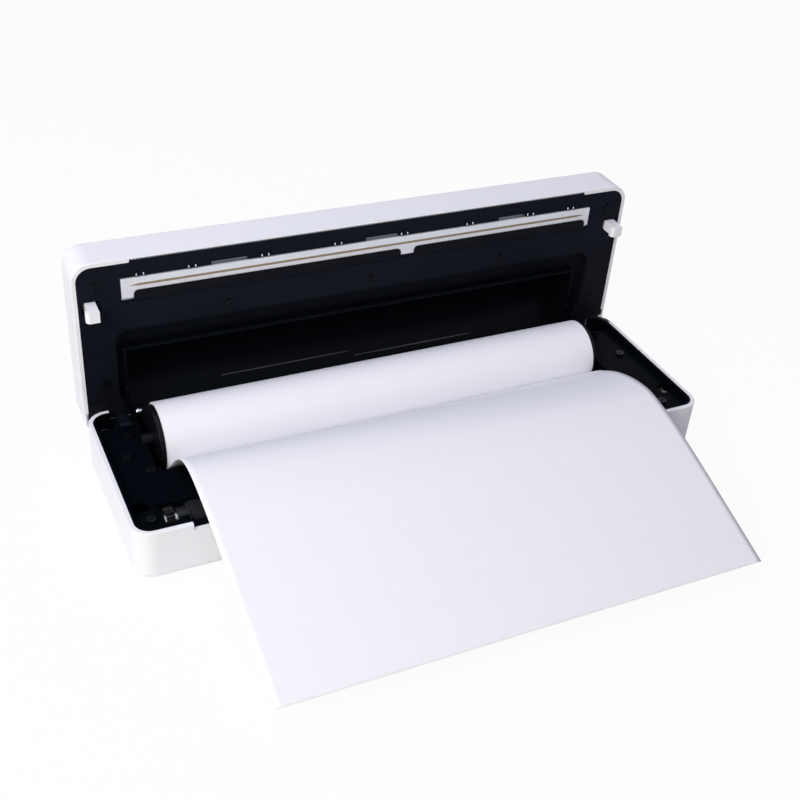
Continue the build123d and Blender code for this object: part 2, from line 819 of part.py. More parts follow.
with BuildPart() as paper_sensor:
    with BuildSketch(base_plane(-deck_drop - 2 * liner_wall)):
        block(
            sensor_x - sensor_length / 2 + fit_gap,
            sensor_x + sensor_length / 2 - fit_gap,
            sensor_depth - sensor_width / 2 + fit_gap,
            sensor_depth + sensor_width / 2 - fit_gap,
        )
    extrude(amount=2 * liner_wall)
write(paper_sensor, "paper_sensor")

# ---- paper ----

with BuildPart() as paper_roll:
    with BuildSketch(base_section(roll_left)):
        disc(roll_depth, -roll_drop, paper_roll_radius)
        disc(roll_depth, -roll_drop, core_radius, Mode.SUBTRACT)
    extrude(amount=paper_width)
write(paper_roll, "paper_roll")

with BuildPart() as core_tube:
    with BuildSketch(base_section(roll_left)):
        disc(roll_depth, -roll_drop, core_radius)
        disc(roll_depth, -roll_drop, core_radius - core_wall, Mode.SUBTRACT)
    extrude(amount=paper_width)
write(core_tube, "core_tube")

for cap_name, end_x, way in (("roll_cap_left", roll_left, -1), ("roll_cap_right", roll_right, 1)):
    with BuildPart() as roll_cap:
        with BuildSketch(base_section(end_x)):
            disc(roll_depth, -roll_drop, core_radius - core_wall)
        extrude(amount=-way * cap_plug_length)
        with BuildSketch(base_section(end_x)):
            disc(roll_depth, -roll_drop, cap_flange_radius)
        extrude(amount=way * (cap_gap + cap_flange_thickness))
        flange_edges = roll_cap.edges().filter_by(GeomType.CIRCLE).sort_by(SortBy.RADIUS)[-2:]
        fillet(flange_edges, radius=rim_edge_radius)
        with BuildSketch(base_section(end_x)):
            disc(roll_depth, -roll_drop, cap_stub_radius)
        extrude(amount=way * (cap_gap + cap_flange_thickness + cap_stub_length))
    write(roll_cap, cap_name)

with BuildPart() as paper_sheet:
    peel = math.radians(sheet_peel_angle)
    fall = math.radians(sheet_slope)
    peel_radius = paper_roll_radius + sheet_peel_gap
    sheet_peel = Vector(roll_depth + peel_radius * math.cos(peel), -roll_drop + peel_radius * math.sin(peel))
    sheet_crest = Vector(sheet_crest_depth, sheet_crest_height)
    sheet_end = Vector(-sheet_overhang, sheet_end_height)
    sheet_fall = sheet_end + Vector(1, math.tan(fall)) * (sheet_fall_depth + sheet_overhang)
    sheet_ways = ((math.sin(peel), -math.cos(peel)), (-math.cos(fall), -math.sin(fall)))
    sheet_knots = [sheet_peel, sheet_crest, sheet_fall]
    thickness = Vector(0, sheet_thickness)
    with BuildSketch(base_section(roll_left)):
        with BuildLine():
            Spline(*sheet_knots, tangents=sheet_ways)
            Line(sheet_fall, sheet_end)
            Line(sheet_end, sheet_end + thickness)
            Line(sheet_end + thickness, sheet_fall + thickness)
            Spline(*[knot + thickness for knot in sheet_knots], tangents=sheet_ways)
            Line(sheet_peel + thickness, sheet_peel)
        make_face()
    extrude(amount=paper_width)
write(paper_sheet, "paper_sheet")

# ---- lid ----

with BuildPart() as lid_shell:
    with BuildSketch(lid_plane(0)):
        case_outline(0)
    extrude(amount=lid_height)
    fillet(lid_shell.edges().group_by(Axis.Y)[-1], radius=lid_edge_radius)
    fillet(lid_shell.edges().group_by(Axis.Y)[0], radius=rim_edge_radius)
    with BuildSketch(lid_plane(0)):
        case_outline(shell_wall)
    extrude(amount=lid_inside, mode=Mode.SUBTRACT)
    # bosses of the lid screws
    with BuildSketch(lid_plane(liner_wall)):
        discs(lid_screws_at, boss_radius)
    extrude(amount=lid_inside - liner_wall)
    with BuildSketch(lid_plane(liner_wall)):
        discs(lid_screws_at, screw_radius)
    extrude(amount=screw_length, mode=Mode.SUBTRACT)
    # guides of the latch bar, and the rib behind its spring
    guide_half = latch_bar_width / 2 + latch_guide_margin
    guide_bottom = latch_bar_height - latch_guide_margin
    with BuildSketch(lid_plane(guide_bottom)):
        for guide_x in latch_guide_xs:
            guide_right = guide_x + latch_guide_thickness
            block(guide_x, guide_right, hook_depth - guide_half, hook_depth + guide_half)
    extrude(amount=lid_inside - guide_bottom)
    with BuildSketch(lid_plane(latch_bar_top + latch_guide_gap)):
        rib_x = latch_spring_x + latch_spring_length
        rib_right = rib_x + latch_guide_thickness
        block(rib_x, rib_right, hook_depth - latch_bar_width / 2, hook_depth + latch_bar_width / 2)
    extrude(amount=lid_inside - latch_bar_top - latch_guide_gap)
    with BuildSketch(lid_plane(latch_bar_height - latch_guide_gap)):
        window_half = latch_bar_width / 2 + latch_guide_gap
        block(-hook_x, hook_x, hook_depth - window_half, hook_depth + window_half)
    extrude(amount=latch_bar_thickness + 2 * latch_guide_gap, mode=Mode.SUBTRACT)
    # way of the back wall's corners past the hinge
    for side in (-1, 1):
        swing_middle = side * (hinge_notch_half_width + inner_half_width + shell_wall / 2) / 2
        swing_width = inner_half_width + shell_wall / 2 - hinge_notch_half_width
        with BuildSketch(lid_section(swing_middle - swing_width / 2)):
            disc(hinge_depth, hinge_lid_height, swing_radius)
        extrude(amount=swing_width, mode=Mode.SUBTRACT)
    # slot of the release slider
    with BuildSketch(lid_plane(lid_inside)):
        with Locations((slider_x + latch_travel / 2, hook_depth)):
            Rectangle(slider_length + latch_travel + 2 * latch_gap, slider_width + 2 * latch_gap)
    extrude(amount=shell_wall, mode=Mode.SUBTRACT)
write(lid_shell, "lid_shell")

with BuildPart() as lid_liner:
    with BuildSketch(lid_plane(0)):
        case_outline(shell_wall + fit_gap)
        recess_middle = (recess_front_depth + recess_back_depth) / 2
        recess_size = recess_back_depth - recess_front_depth
        with Locations((0, recess_middle)):
            RectangleRounded(2 * recess_half_width, recess_size, recess_corner, mode=Mode.SUBTRACT)
    extrude(amount=liner_wall)
    # shallow recess
    with BuildSketch(lid_plane(0)):
        with Locations((0, recess_middle)):
            RectangleRounded(
                2 * (recess_half_width + liner_wall), recess_size + 2 * liner_wall, recess_corner + liner_wall
            )
            RectangleRounded(2 * recess_half_width, recess_size, recess_corner, mode=Mode.SUBTRACT)
    extrude(amount=recess_depth)
    with BuildSketch(lid_plane(recess_depth)):
        with Locations((0, recess_middle)):
            RectangleRounded(
                2 * (recess_half_width + liner_wall), recess_size + 2 * liner_wall, recess_corner + liner_wall
            )
    extrude(amount=liner_wall)
    # trough over the roll
    with BuildSketch(lid_section(trough_left - trough_wall)):
        disc(roll_depth, lid_roll_height, lid_trough_radius + trough_wall)
        block(0, case_depth, -case_depth, 0, Mode.SUBTRACT)
    extrude(amount=2 * (trough_half_length + trough_wall))
    with BuildSketch(lid_section(trough_left)):
        disc(roll_depth, lid_roll_height, lid_trough_radius)
    extrude(amount=2 * trough_half_length, mode=Mode.SUBTRACT)
    with BuildSketch(lid_section(trough_left - trough_wall)):
        disc(roll_depth, lid_roll_height, cradle_radius + lid_gap)
    extrude(amount=2 * (trough_half_length + trough_wall), mode=Mode.SUBTRACT)
    # window of the print head, with three peeps in front of it
    with BuildSketch(lid_plane(0)):
        window_back = head_back_depth + head_cover_overhang + head_window_gap
        window_half = head_half_width + head_window_gap
        block(-window_half, window_half, head_window_front, window_back)
        for peep_x in head_peeps:
            block(
                peep_x - head_peep_half_width,
                peep_x + head_peep_half_width,
                heatsink_front_depth,
                head_window_front,
            )
    extrude(amount=liner_wall, mode=Mode.SUBTRACT)
    # seat of the tear bar
    with BuildSketch(lid_plane(0)):
        seat_half = tear_half_width + fit_gap
        block(-seat_half, seat_half, 0, tear_back_depth + fit_gap)
    extrude(amount=tear_thickness - tear_proud, mode=Mode.SUBTRACT)
    # slots of the latch hooks
    with BuildSketch(lid_plane(0)):
        for side in (-1, 1):
            slot_left = side * hook_x - hook_width / 2 - hook_barb - latch_gap
            slot_right = side * hook_x + hook_width / 2 + latch_travel + latch_gap
            slot_half = hook_length / 2 + latch_gap
            block(slot_left, slot_right, hook_depth - slot_half, hook_depth + slot_half)
    extrude(amount=liner_wall, mode=Mode.SUBTRACT)
    # way of the back wall's corners past the hinge
    for side in (-1, 1):
        swing_middle = side * (hinge_notch_half_width + inner_half_width) / 2
        swing_width = inner_half_width - hinge_notch_half_width
        with BuildSketch(lid_section(swing_middle - swing_width / 2)):
            disc(hinge_depth, hinge_lid_height, swing_radius)
        extrude(amount=swing_width, mode=Mode.SUBTRACT)
    # screw holes
    with BuildSketch(lid_plane(0)):
        discs(lid_screws_at, screw_radius)
    extrude(amount=liner_wall, mode=Mode.SUBTRACT)
    with BuildSketch(lid_plane(0)):
        discs(lid_screws_at, screw_head_radius + fit_gap)
    extrude(amount=screw_recess_depth, mode=Mode.SUBTRACT)
    # small guide ribs before the head
    rib_places = [
        (rib_x + side * guide_rib_spacing / 2, head_window_front - guide_rib_size)
        for rib_x in guide_rib_xs
        for side in (-1, 1)
    ]
    with BuildSketch(lid_plane(-guide_rib_size / 2)):
        with Locations(*rib_places):
            Rectangle(guide_rib_size, guide_rib_size * 2)
    extrude(amount=guide_rib_size / 2 + liner_wall)
    # hinge arms
    for side in (-1, 1):
        with BuildSketch(lid_section(side * arm_x - arm_thickness / 2)):
            disc(hinge_depth, hinge_lid_height, arm_radius)
            block(hinge_depth - arm_width / 2, hinge_depth + arm_width / 2, hinge_lid_height, liner_wall)
            disc(hinge_depth, hinge_lid_height, hinge_pin_radius + hinge_running_gap, Mode.SUBTRACT)
        extrude(amount=arm_thickness)
write(lid_liner, "lid_liner")

for pin_name, pin_side in (("hinge_pin_left", -1), ("hinge_pin_right", 1)):
    with BuildPart() as hinge_pin:
        with BuildSketch(base_section(pin_side * arm_x - hinge_pin_length / 2)):
            disc(hinge_depth, -hinge_drop, hinge_pin_radius)
        extrude(amount=hinge_pin_length)
    write(hinge_pin, pin_name)

with BuildPart() as tear_bar:
    tooth_count = int(2 * tear_half_width / tear_tooth_pitch)
    edge = [(-tear_half_width, tear_tip_depth + tear_tooth_height)]
    for tooth in range(tooth_count):
        tooth_left = -tear_half_width + tooth * tear_tooth_pitch
        edge.append((tooth_left + tear_tooth_pitch / 2, tear_tip_depth))
        edge.append((tooth_left + tear_tooth_pitch, tear_tip_depth + tear_tooth_height))
    with BuildSketch(lid_plane(-tear_proud)):
        with BuildLine():
            back = ((tear_half_width, tear_back_depth), (-tear_half_width, tear_back_depth))
            Polyline(*edge, *back, close=True)
        make_face()
    extrude(amount=tear_proud)
    with BuildSketch(lid_plane(0)):
        block(-tear_half_width, tear_half_width, shell_wall + fit_gap, tear_back_depth)
    extrude(amount=tear_thickness - tear_proud)
write(tear_bar, "tear_bar")

# ---- print head ----

with BuildPart() as printhead_ceramic:
    with BuildSketch(lid_plane(-head_proud)):
        block(-head_half_width, head_half_width, head_front_depth, head_back_depth)
    extrude(amount=head_thickness)
write(printhead_ceramic, "printhead_ceramic")

with BuildPart() as printhead_cover:
    cover_back = head_back_depth + head_cover_overhang
    middle_left = head_middle_tab_x - head_middle_tab / 2
    middle_right = head_middle_tab_x + head_middle_tab / 2
    with BuildSketch(lid_plane(-head_proud - head_cover_proud)):
        block(-head_half_width + head_end_tab, middle_left, head_cover_depth, cover_back)
        block(middle_right, head_half_width - head_right_tab, head_cover_depth, cover_back)
    extrude(amount=head_cover_proud)
    fillet(printhead_cover.edges().filter_by(Axis.Y).group_by(Axis.Z)[-1], radius=head_cover_corner)
    with BuildSketch(lid_plane(-head_proud)):
        block(-head_half_width + head_end_tab, head_half_width - head_right_tab, head_back_depth, cover_back)
    extrude(amount=head_thickness)
write(printhead_cover, "printhead_cover")

with BuildPart() as printhead_heatsink:
    with BuildSketch(lid_plane(head_thickness - head_proud)):
        block(-head_half_width, head_half_width, head_front_depth, cover_back)
    extrude(amount=heatsink_top - head_thickness + head_proud)
    # ledges that rest behind the liner's window
    heatsink_ledge = liner_wall + heatsink_ledge_gap
    with BuildSketch(lid_plane(heatsink_ledge)):
        block(-head_half_width, head_half_width, heatsink_front_depth, heatsink_back_depth)
    extrude(amount=heatsink_top - heatsink_ledge)
write(printhead_heatsink, "printhead_heatsink")

with BuildPart() as printhead_springs:
    spring_places = [(spring_x, platen_depth) for spring_x in head_spring_xs]
    with BuildSketch(lid_plane(heatsink_top)):
        discs(spring_places, head_spring_radius + head_spring_wire)
        discs(spring_places, head_spring_radius - head_spring_wire, Mode.SUBTRACT)
    extrude(amount=lid_inside - heatsink_top)
write(printhead_springs, "printhead_springs")

with BuildPart() as head_cable:
    cable_right = recess_half_width + liner_wall
    with BuildSketch(lid_plane(recess_depth + liner_wall)):
        block(cable_right - cable_width, cable_right, heatsink_back_depth, hinge_depth - swing_radius)
    extrude(amount=cable_thickness)
write(head_cable, "head_cable")

# ---- latch ----

with BuildPart() as latch_bar:
    with BuildSketch(lid_plane(latch_bar_height)):
        block(
            -hook_x - hook_width / 2,
            hook_x + hook_width / 2,
            hook_depth - latch_bar_width / 2,
            hook_depth + latch_bar_width / 2,
        )
    extrude(amount=latch_bar_thickness)
    # lug that the spring pushes
    with BuildSketch(lid_plane(latch_bar_top)):
        block(
            latch_spring_x - latch_guide_thickness,
            latch_spring_x,
            hook_depth - latch_bar_width / 2,
            hook_depth + latch_bar_width / 2,
        )
    extrude(amount=spring_height + spring_outer_radius - latch_bar_top)
write(latch_bar, "latch_bar")

for hook_name, hook_side in (("latch_hook_left", -1), ("latch_hook_right", 1)):
    with BuildPart() as latch_hook:
        hook_left = hook_side * hook_x - hook_width / 2
        hook_right = hook_side * hook_x + hook_width / 2
        with BuildSketch(lid_across(hook_depth + hook_length / 2)):
            with BuildLine():
                Polyline(
                    (hook_left, latch_bar_height),
                    (hook_right, latch_bar_height),
                    (hook_right, -hook_reach),
                    (hook_left, -hook_reach),
                    (hook_left - hook_barb, -hook_reach + hook_barb),
                    (hook_left - hook_barb, -hook_reach + hook_barb_height),
                    (hook_left, -hook_reach + hook_barb_height),
                    close=True,
                )
            make_face()
        extrude(amount=hook_length)
    write(latch_hook, hook_name)

with BuildPart() as release_slider:
    with BuildSketch(lid_plane(latch_bar_top)):
        with Locations((slider_x, hook_depth)):
            Rectangle(slider_length, slider_width)
    extrude(amount=lid_height + slider_proud - latch_bar_top)
    fillet(release_slider.edges().group_by(Axis.Y)[-1], radius=rim_edge_radius)
write(release_slider, "release_slider")

with BuildPart() as latch_spring:
    with BuildSketch(lid_section(latch_spring_x)):
        disc(hook_depth, spring_height, spring_outer_radius)
        disc(hook_depth, spring_height, latch_spring_radius - latch_spring_wire, Mode.SUBTRACT)
    extrude(amount=latch_spring_length)
write(latch_spring, "latch_spring")

# ---- fasteners ----


screw_sets = (
    ("base_screws", base_plane(-base_height + screw_head_height), base_screws_at, -1),
    ("deck_screws", base_plane(-deck_drop), deck_screws_at, 1),
    ("cover_screw", base_plane(-deck_drop + skirt_wall), cover_screw_at, 1),
    ("lid_screws", lid_plane(screw_recess_depth), lid_screws_at, -1),
)

for set_name, seat, places, way in screw_sets:
    with BuildPart() as screw_set:
        with BuildSketch(seat):
            discs(places, screw_radius)
        extrude(amount=-way * screw_length)
        with BuildSketch(seat):
            discs(places, screw_head_radius)
        extrude(amount=way * screw_head_height)
        with BuildSketch(seat.offset(way * screw_head_height)):
            with Locations(*places):
                Rectangle(screw_head_radius, screw_recess_width)
                Rectangle(screw_recess_width, screw_head_radius)
        extrude(amount=-way * screw_recess_depth, mode=Mode.SUBTRACT)
    write(screw_set, set_name)
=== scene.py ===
"""Finishes and soft parts of a portable A4 thermal printer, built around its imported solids.

The sections follow the printer as it is put together: case, liners, drive, electronics, paper,
print head and latch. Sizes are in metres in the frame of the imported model.
"""

import math

import bpy
import numpy as np
from mathutils import Matrix, Vector


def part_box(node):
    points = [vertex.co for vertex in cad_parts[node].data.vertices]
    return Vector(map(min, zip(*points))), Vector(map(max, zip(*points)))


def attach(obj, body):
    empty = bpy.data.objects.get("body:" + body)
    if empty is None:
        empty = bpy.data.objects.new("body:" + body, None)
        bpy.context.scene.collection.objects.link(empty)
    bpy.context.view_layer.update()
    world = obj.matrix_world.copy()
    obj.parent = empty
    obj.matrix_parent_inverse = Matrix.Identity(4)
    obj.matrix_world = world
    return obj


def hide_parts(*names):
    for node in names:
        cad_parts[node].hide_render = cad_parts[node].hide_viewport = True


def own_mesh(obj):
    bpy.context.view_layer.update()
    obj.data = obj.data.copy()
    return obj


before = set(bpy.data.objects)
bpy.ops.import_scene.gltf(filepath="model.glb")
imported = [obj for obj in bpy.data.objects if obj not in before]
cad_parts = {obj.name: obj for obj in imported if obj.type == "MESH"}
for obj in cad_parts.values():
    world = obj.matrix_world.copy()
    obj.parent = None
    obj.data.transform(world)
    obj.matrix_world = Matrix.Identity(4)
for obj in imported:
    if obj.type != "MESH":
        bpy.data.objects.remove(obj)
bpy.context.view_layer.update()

# ---- Camera ----
# A short telephoto two thirds of a metre away, held above the front left corner of the open
# printer and turned a little about its own line of sight.
yaw, pitch, tilt = (math.radians(angle) for angle in (27.488, 35.215, 4.774))
sight = Vector((math.sin(yaw) * math.cos(pitch), math.cos(yaw) * math.cos(pitch), -math.sin(pitch)))
level = sight.cross(Vector((0, 0, 1))).normalized()
upright = level.cross(sight)
picture_right = math.cos(tilt) * level + math.sin(tilt) * upright
picture_up = math.cos(tilt) * upright - math.sin(tilt) * level
lens = bpy.data.cameras.new("studio_camera")
lens.sensor_width = 36.0
lens.lens = 52.99
lens.clip_start = 0.01
camera = bpy.data.objects.new("studio_camera", lens)
turned = Matrix((picture_right, picture_up, -sight)).transposed().to_4x4()
camera.matrix_world = Matrix.Translation((-0.19992, -0.34688, 0.33226)) @ turned
bpy.context.scene.collection.objects.link(camera)
bpy.context.scene.camera = camera
bpy.context.scene.view_settings.view_transform = "Standard"

# ---- Floor and studio light ----
# A seamless white table under a wide cool light from above, with a warmer diffuser close by at the
# front left, whose light falls off to the right. Reflections see plain white.


def linear(code):
    """An sRGB hex colour as linear red, green, blue and alpha."""
    channels = [int(code[i : i + 2], 16) / 255 for i in (1, 3, 5)]
    return [c / 12.92 if c <= 0.04045 else ((c + 0.055) / 1.055) ** 2.4 for c in channels] + [1.0]


def add_node(tree, kind, settings=None, links=None):
    """Adds one node, sets its properties and socket values, and links sockets from other nodes."""
    node = tree.nodes.new(kind)
    for name, value in (settings or {}).items():
        if isinstance(name, str) and hasattr(node, name):
            setattr(node, name, value)
        else:
            node.inputs[name].default_value = value
    for name, (source, output) in (links or {}).items():
        tree.links.new(source.outputs[output], node.inputs[name])
    return node


def new_material(name):
    """An empty node material: the material, its tree and its texture coordinates."""
    material = bpy.data.materials.new(name)
    material.use_nodes = True
    material.node_tree.nodes.clear()
    return material, material.node_tree, add_node(material.node_tree, "ShaderNodeTexCoord")


world = bpy.data.worlds.new("white_studio")
world.use_nodes = True
air = world.node_tree
air.nodes.clear()
rays = add_node(air, "ShaderNodeLightPath")
seen = add_node(
    air,
    "ShaderNodeMath",
    {"operation": "MAXIMUM"},
    {0: (rays, "Is Camera Ray"), 1: (rays, "Is Glossy Ray")},
)
seen = add_node(
    air,
    "ShaderNodeMath",
    {"operation": "MAXIMUM"},
    {0: (seen, 0), 1: (rays, "Is Transmission Ray")},
)
ambient = add_node(air, "ShaderNodeBackground", {"Color": linear("#FFFFFF"), "Strength": 0.2})
white = add_node(air, "ShaderNodeBackground", {"Color": linear("#FFFFFF"), "Strength": 1.0})
around = add_node(air, "ShaderNodeMixShader", links={0: (seen, 0), 1: (ambient, 0), 2: (white, 0)})
add_node(air, "ShaderNodeOutputWorld", links={"Surface": (around, 0)})
bpy.context.scene.world = world

table_top = bpy.data.meshes.new("table_top")
table_top.from_pydata([(-4, -4, 0), (4, -4, 0), (4, 4, 0), (-4, 4, 0)], [], [(0, 1, 2, 3)])
table = bpy.data.objects.new("table_top", table_top)
bpy.context.scene.collection.objects.link(table)
matt_white, tree, _ = new_material("matt_white_table")
rays = add_node(tree, "ShaderNodeLightPath")
lit = add_node(tree, "ShaderNodeBsdfDiffuse", {"Color": linear("#F4F4F6")})
glow = add_node(tree, "ShaderNodeEmission", {"Color": linear("#FFFFFF"), "Strength": 1.0})
# to the camera the table is 0.94 plain white and for the rest lit, which leaves a soft shadow;
# every other ray finds it lit
share = add_node(
    tree, "ShaderNodeMath", {"operation": "MULTIPLY", 1: 0.94}, {0: (rays, "Is Camera Ray")}
)
shown = add_node(tree, "ShaderNodeMixShader", links={0: (share, 0), 1: (lit, 0), 2: (glow, 0)})
add_node(tree, "ShaderNodeOutputMaterial", links={"Surface": (shown, 0)})
table_top.materials.append(matt_white)

for lamp_name, where, side, power, tint in (
    ("front_left_diffuser", (-0.75, -0.45, 0.66), 0.5, 6.8, "#FDFDE6"),
    ("overhead_diffuser", (-0.35, 0.05, 1.05), 0.8, 5.9, "#DBDEFF"),
    ("front_diffuser", (-0.45, -0.95, 0.42), 0.7, 0.9, "#FFFFFF"),
):
    lamp_data = bpy.data.lights.new(lamp_name, "AREA")
    lamp_data.shape = "SQUARE"
    lamp_data.size = side
    lamp_data.energy = power
    lamp_data.color = linear(tint)[:3]
    lamp = bpy.data.objects.new(lamp_name, lamp_data)
    aimed = Vector(where).to_track_quat("Z", "Y").to_matrix().to_4x4()
    lamp.matrix_world = Matrix.Translation(where) @ aimed
    bpy.context.scene.collection.objects.link(lamp)

# ---- Case shells ----
# The base and the lid are injection moulded in white ABS with a fine spark-eroded grain, so
# they look satin, bluish white and even, with soft highlights along the rounded edges.


def dress(material, *names):
    """Gives a material to the slots of CAD nodes."""
    for name in names:
        for material_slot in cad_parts[name].material_slots:
            material_slot.material = material


# Moulded white ABS: the grain is 0.1 mm in the mould and is drawn at 0.8 mm so that it shows.
# Behind the hinge arms it is coloured near black as painted shade in their slots, and round the
# right rear corner its rim is coloured near black too.
white_abs, tree, place = new_material("moulded_white_abs")
patch = add_node(tree, "ShaderNodeTexNoise", {"Scale": 1 / 0.045}, {"Vector": (place, "Object")})
tone = add_node(
    tree,
    "ShaderNodeMix",
    {"data_type": "RGBA", 6: linear("#ECEBF2"), 7: linear("#F1F0F6")},
    {0: (patch, 0)},
)
parts = add_node(tree, "ShaderNodeSeparateXYZ", links={"Vector": (place, "Object")})
across = add_node(tree, "ShaderNodeMath", {"operation": "ABSOLUTE"}, {0: (parts, "X")})
# each darkened box: its middle and half its size along x, y and z; the first, painted shade in the
# hinge arms' slots, is on both sides; the second is the right rear corner's rim
for side_to_side, middles, reaches in (
    ((across, 0), (0.11725, 0.07315, 0.0187), (0.00725, 0.00115, 0.0062)),
    ((parts, "X"), (0.1272, 0.07125, 0.02595), (0.0048, 0.00475, 0.00195)),
):
    dark_box = None
    for source, middle, reach in zip(
        (side_to_side, (parts, "Y"), (parts, "Z")), middles, reaches, strict=True
    ):
        compared = {"operation": "COMPARE", 1: middle, 2: reach}
        within = add_node(tree, "ShaderNodeMath", compared, {0: source})
        if dark_box:
            both = {0: (dark_box, 0), 1: (within, 0)}
            within = add_node(tree, "ShaderNodeMath", {"operation": "MULTIPLY"}, both)
        dark_box = within
    # inside each box the colour turns near black
    tone = add_node(
        tree,
        "ShaderNodeMix",
        {"data_type": "RGBA", 7: linear("#030406")},
        {0: (dark_box, 0), 6: (tone, 2)},
    )
cloud = add_node(tree, "ShaderNodeTexNoise", {"Scale": 1 / 0.012}, {"Vector": (place, "Object")})
satin = add_node(
    tree, "ShaderNodeMapRange", {"To Min": 0.36, "To Max": 0.48}, {"Value": (cloud, 0)}
)
grain = add_node(tree, "ShaderNodeTexNoise", {"Scale": 1 / 0.0008}, {"Vector": (place, "Object")})
bump = add_node(
    tree, "ShaderNodeBump", {"Strength": 0.1, "Distance": 0.0001}, {"Height": (grain, 0)}
)
shader = add_node(
    tree,
    "ShaderNodeBsdfPrincipled",
    {"IOR": 1.53, "Specular IOR Level": 0.35},
    {"Base Color": (tone, 2), "Roughness": (satin, 0), "Normal": (bump, 0)},
)
add_node(tree, "ShaderNodeOutputMaterial", links={"Surface": (shader, 0)})
dress(white_abs, "base_shell", "lid_shell")

# ---- Liners ----
# The lid's face and the deck of the base are black ABS mouldings, screwed in from the open side.
# The lid's face is satin with a faint blue sheen, its recess is darkened with painted shade, and
# the deck is darker.

# Moulded black ABS: satin, from a blasted mould, with painted shade darkening the recess, slow wipe
# marks 40 mm long and a grain of 0.1 mm drawn at 0.7 mm.
black_abs, tree, place = new_material("moulded_black_abs")
parts = add_node(tree, "ShaderNodeSeparateXYZ", links={"Vector": (place, "Object")})
# painted shade of the recess: 1 below Z 60 mm and within 113 mm of the middle, fading to 0 past
# them
soft_step = {"interpolation_type": "SMOOTHSTEP", "To Min": 1.0, "To Max": 0.0}
below_edge = add_node(
    tree,
    "ShaderNodeMapRange",
    {**soft_step, "From Min": 0.0600, "From Max": 0.0650},
    {"Value": (parts, "Z")},
)
across = add_node(tree, "ShaderNodeMath", {"operation": "ABSOLUTE"}, {0: (parts, "X")})
inside = add_node(
    tree,
    "ShaderNodeMapRange",
    {**soft_step, "From Min": 0.1130, "From Max": 0.1175},
    {"Value": (across, 0)},
)
recess_shade = add_node(
    tree, "ShaderNodeMath", {"operation": "MULTIPLY"}, {0: (below_edge, 0), 1: (inside, 0)}
)
stretched = add_node(
    tree, "ShaderNodeMapping", {"Scale": (1.0, 2.5, 2.5)}, {"Vector": (place, "Object")}
)
wipes = add_node(
    tree, "ShaderNodeTexNoise", {"Scale": 1 / 0.04, "Detail": 5.0}, {"Vector": (stretched, 0)}
)
satin_tone = add_node(
    tree,
    "ShaderNodeMix",
    {"data_type": "RGBA", 6: linear("#0E1017"), 7: linear("#151822")},
    {0: (wipes, 0)},
)
# painted shade: inside the recess the colour is mixed towards near black
tone = add_node(
    tree,
    "ShaderNodeMix",
    {"data_type": "RGBA", 7: linear("#05080D")},
    {0: (recess_shade, 0), 6: (satin_tone, 2)},
)
satin = add_node(
    tree, "ShaderNodeMapRange", {"To Min": 0.28, "To Max": 0.50}, {"Value": (wipes, 0)}
)
grain = add_node(tree, "ShaderNodeTexNoise", {"Scale": 1 / 0.0007}, {"Vector": (place, "Object")})
bump = add_node(
    tree, "ShaderNodeBump", {"Strength": 0.12, "Distance": 0.0001}, {"Height": (grain, 0)}
)
shader = add_node(
    tree,
    "ShaderNodeBsdfPrincipled",
    {"IOR": 1.53, "Specular IOR Level": 0.05, "Specular Tint": linear("#E1E7FF")},
    {"Base Color": (tone, 2), "Roughness": (satin, 0), "Normal": (bump, 0)},
)
add_node(tree, "ShaderNodeOutputMaterial", links={"Surface": (shader, 0)})
dress(black_abs, "lid_liner", "latch_bar")

# The same ABS from a polished mould: nearly no diffuse colour. Its specular level is set far
# below that of real ABS, because the white world all round would turn the black deck grey.
polished_abs, tree, place = new_material("polished_black_abs")
cloud = add_node(
    tree, "ShaderNodeTexNoise", {"Scale": 1 / 0.02, "Detail": 4.0}, {"Vector": (place, "Object")}
)
tone = add_node(
    tree,
    "ShaderNodeMix",
    {"data_type": "RGBA", 6: linear("#04070C"), 7: linear("#070B11")},
    {0: (cloud, 0)},
)
gloss = add_node(
    tree, "ShaderNodeMapRange", {"To Min": 0.22, "To Max": 0.36}, {"Value": (cloud, 0)}
)
grain = add_node(tree, "ShaderNodeTexNoise", {"Scale": 1 / 0.0009}, {"Vector": (place, "Object")})
bump = add_node(
    tree, "ShaderNodeBump", {"Strength": 0.08, "Distance": 0.0001}, {"Height": (grain, 0)}
)
shader = add_node(
    tree,
    "ShaderNodeBsdfPrincipled",
    {"IOR": 1.53, "Specular IOR Level": 0.01, "Specular Tint": linear("#E1E7FF")},
    {"Base Color": (tone, 2), "Roughness": (gloss, 0), "Normal": (bump, 0)},
)
add_node(tree, "ShaderNodeOutputMaterial", links={"Surface": (shader, 0)})
dress(polished_abs, "base_liner", "gear_cover")

# ---- Rubber feet ----
# Four discs die cut from black rubber sheet and glued into shallow seats under the base.

# Nitrile rubber sheet: dull, with a 1 mm mottled surface from the press platen.
foot_rubber, tree, place = new_material("pressed_nitrile_rubber")
mottle = add_node(tree, "ShaderNodeTexNoise", {"Scale": 1 / 0.001}, {"Vector": (place, "Object")})
tone = add_node(
    tree,
    "ShaderNodeMix",
    {"data_type": "RGBA", 6: linear("#1B1B1D"), 7: linear("#29292B")},
    {0: (mottle, 0)},
)
bump = add_node(
    tree, "ShaderNodeBump", {"Strength": 0.3, "Distance": 0.0001}, {"Height": (mottle, 0)}
)
shader = add_node(
    tree,
    "ShaderNodeBsdfPrincipled",
    {"Roughness": 0.85, "IOR": 1.52},
    {"Base Color": (tone, 2), "Normal": (bump, 0)},
)
add_node(tree, "ShaderNodeOutputMaterial", links={"Surface": (shader, 0)})
dress(foot_rubber, "rubber_feet")

# ---- Screws ----
# Small self-tapping screws with cross recesses: black oxide where they show in the black
# liners and the gear cover, bright zinc under the base.

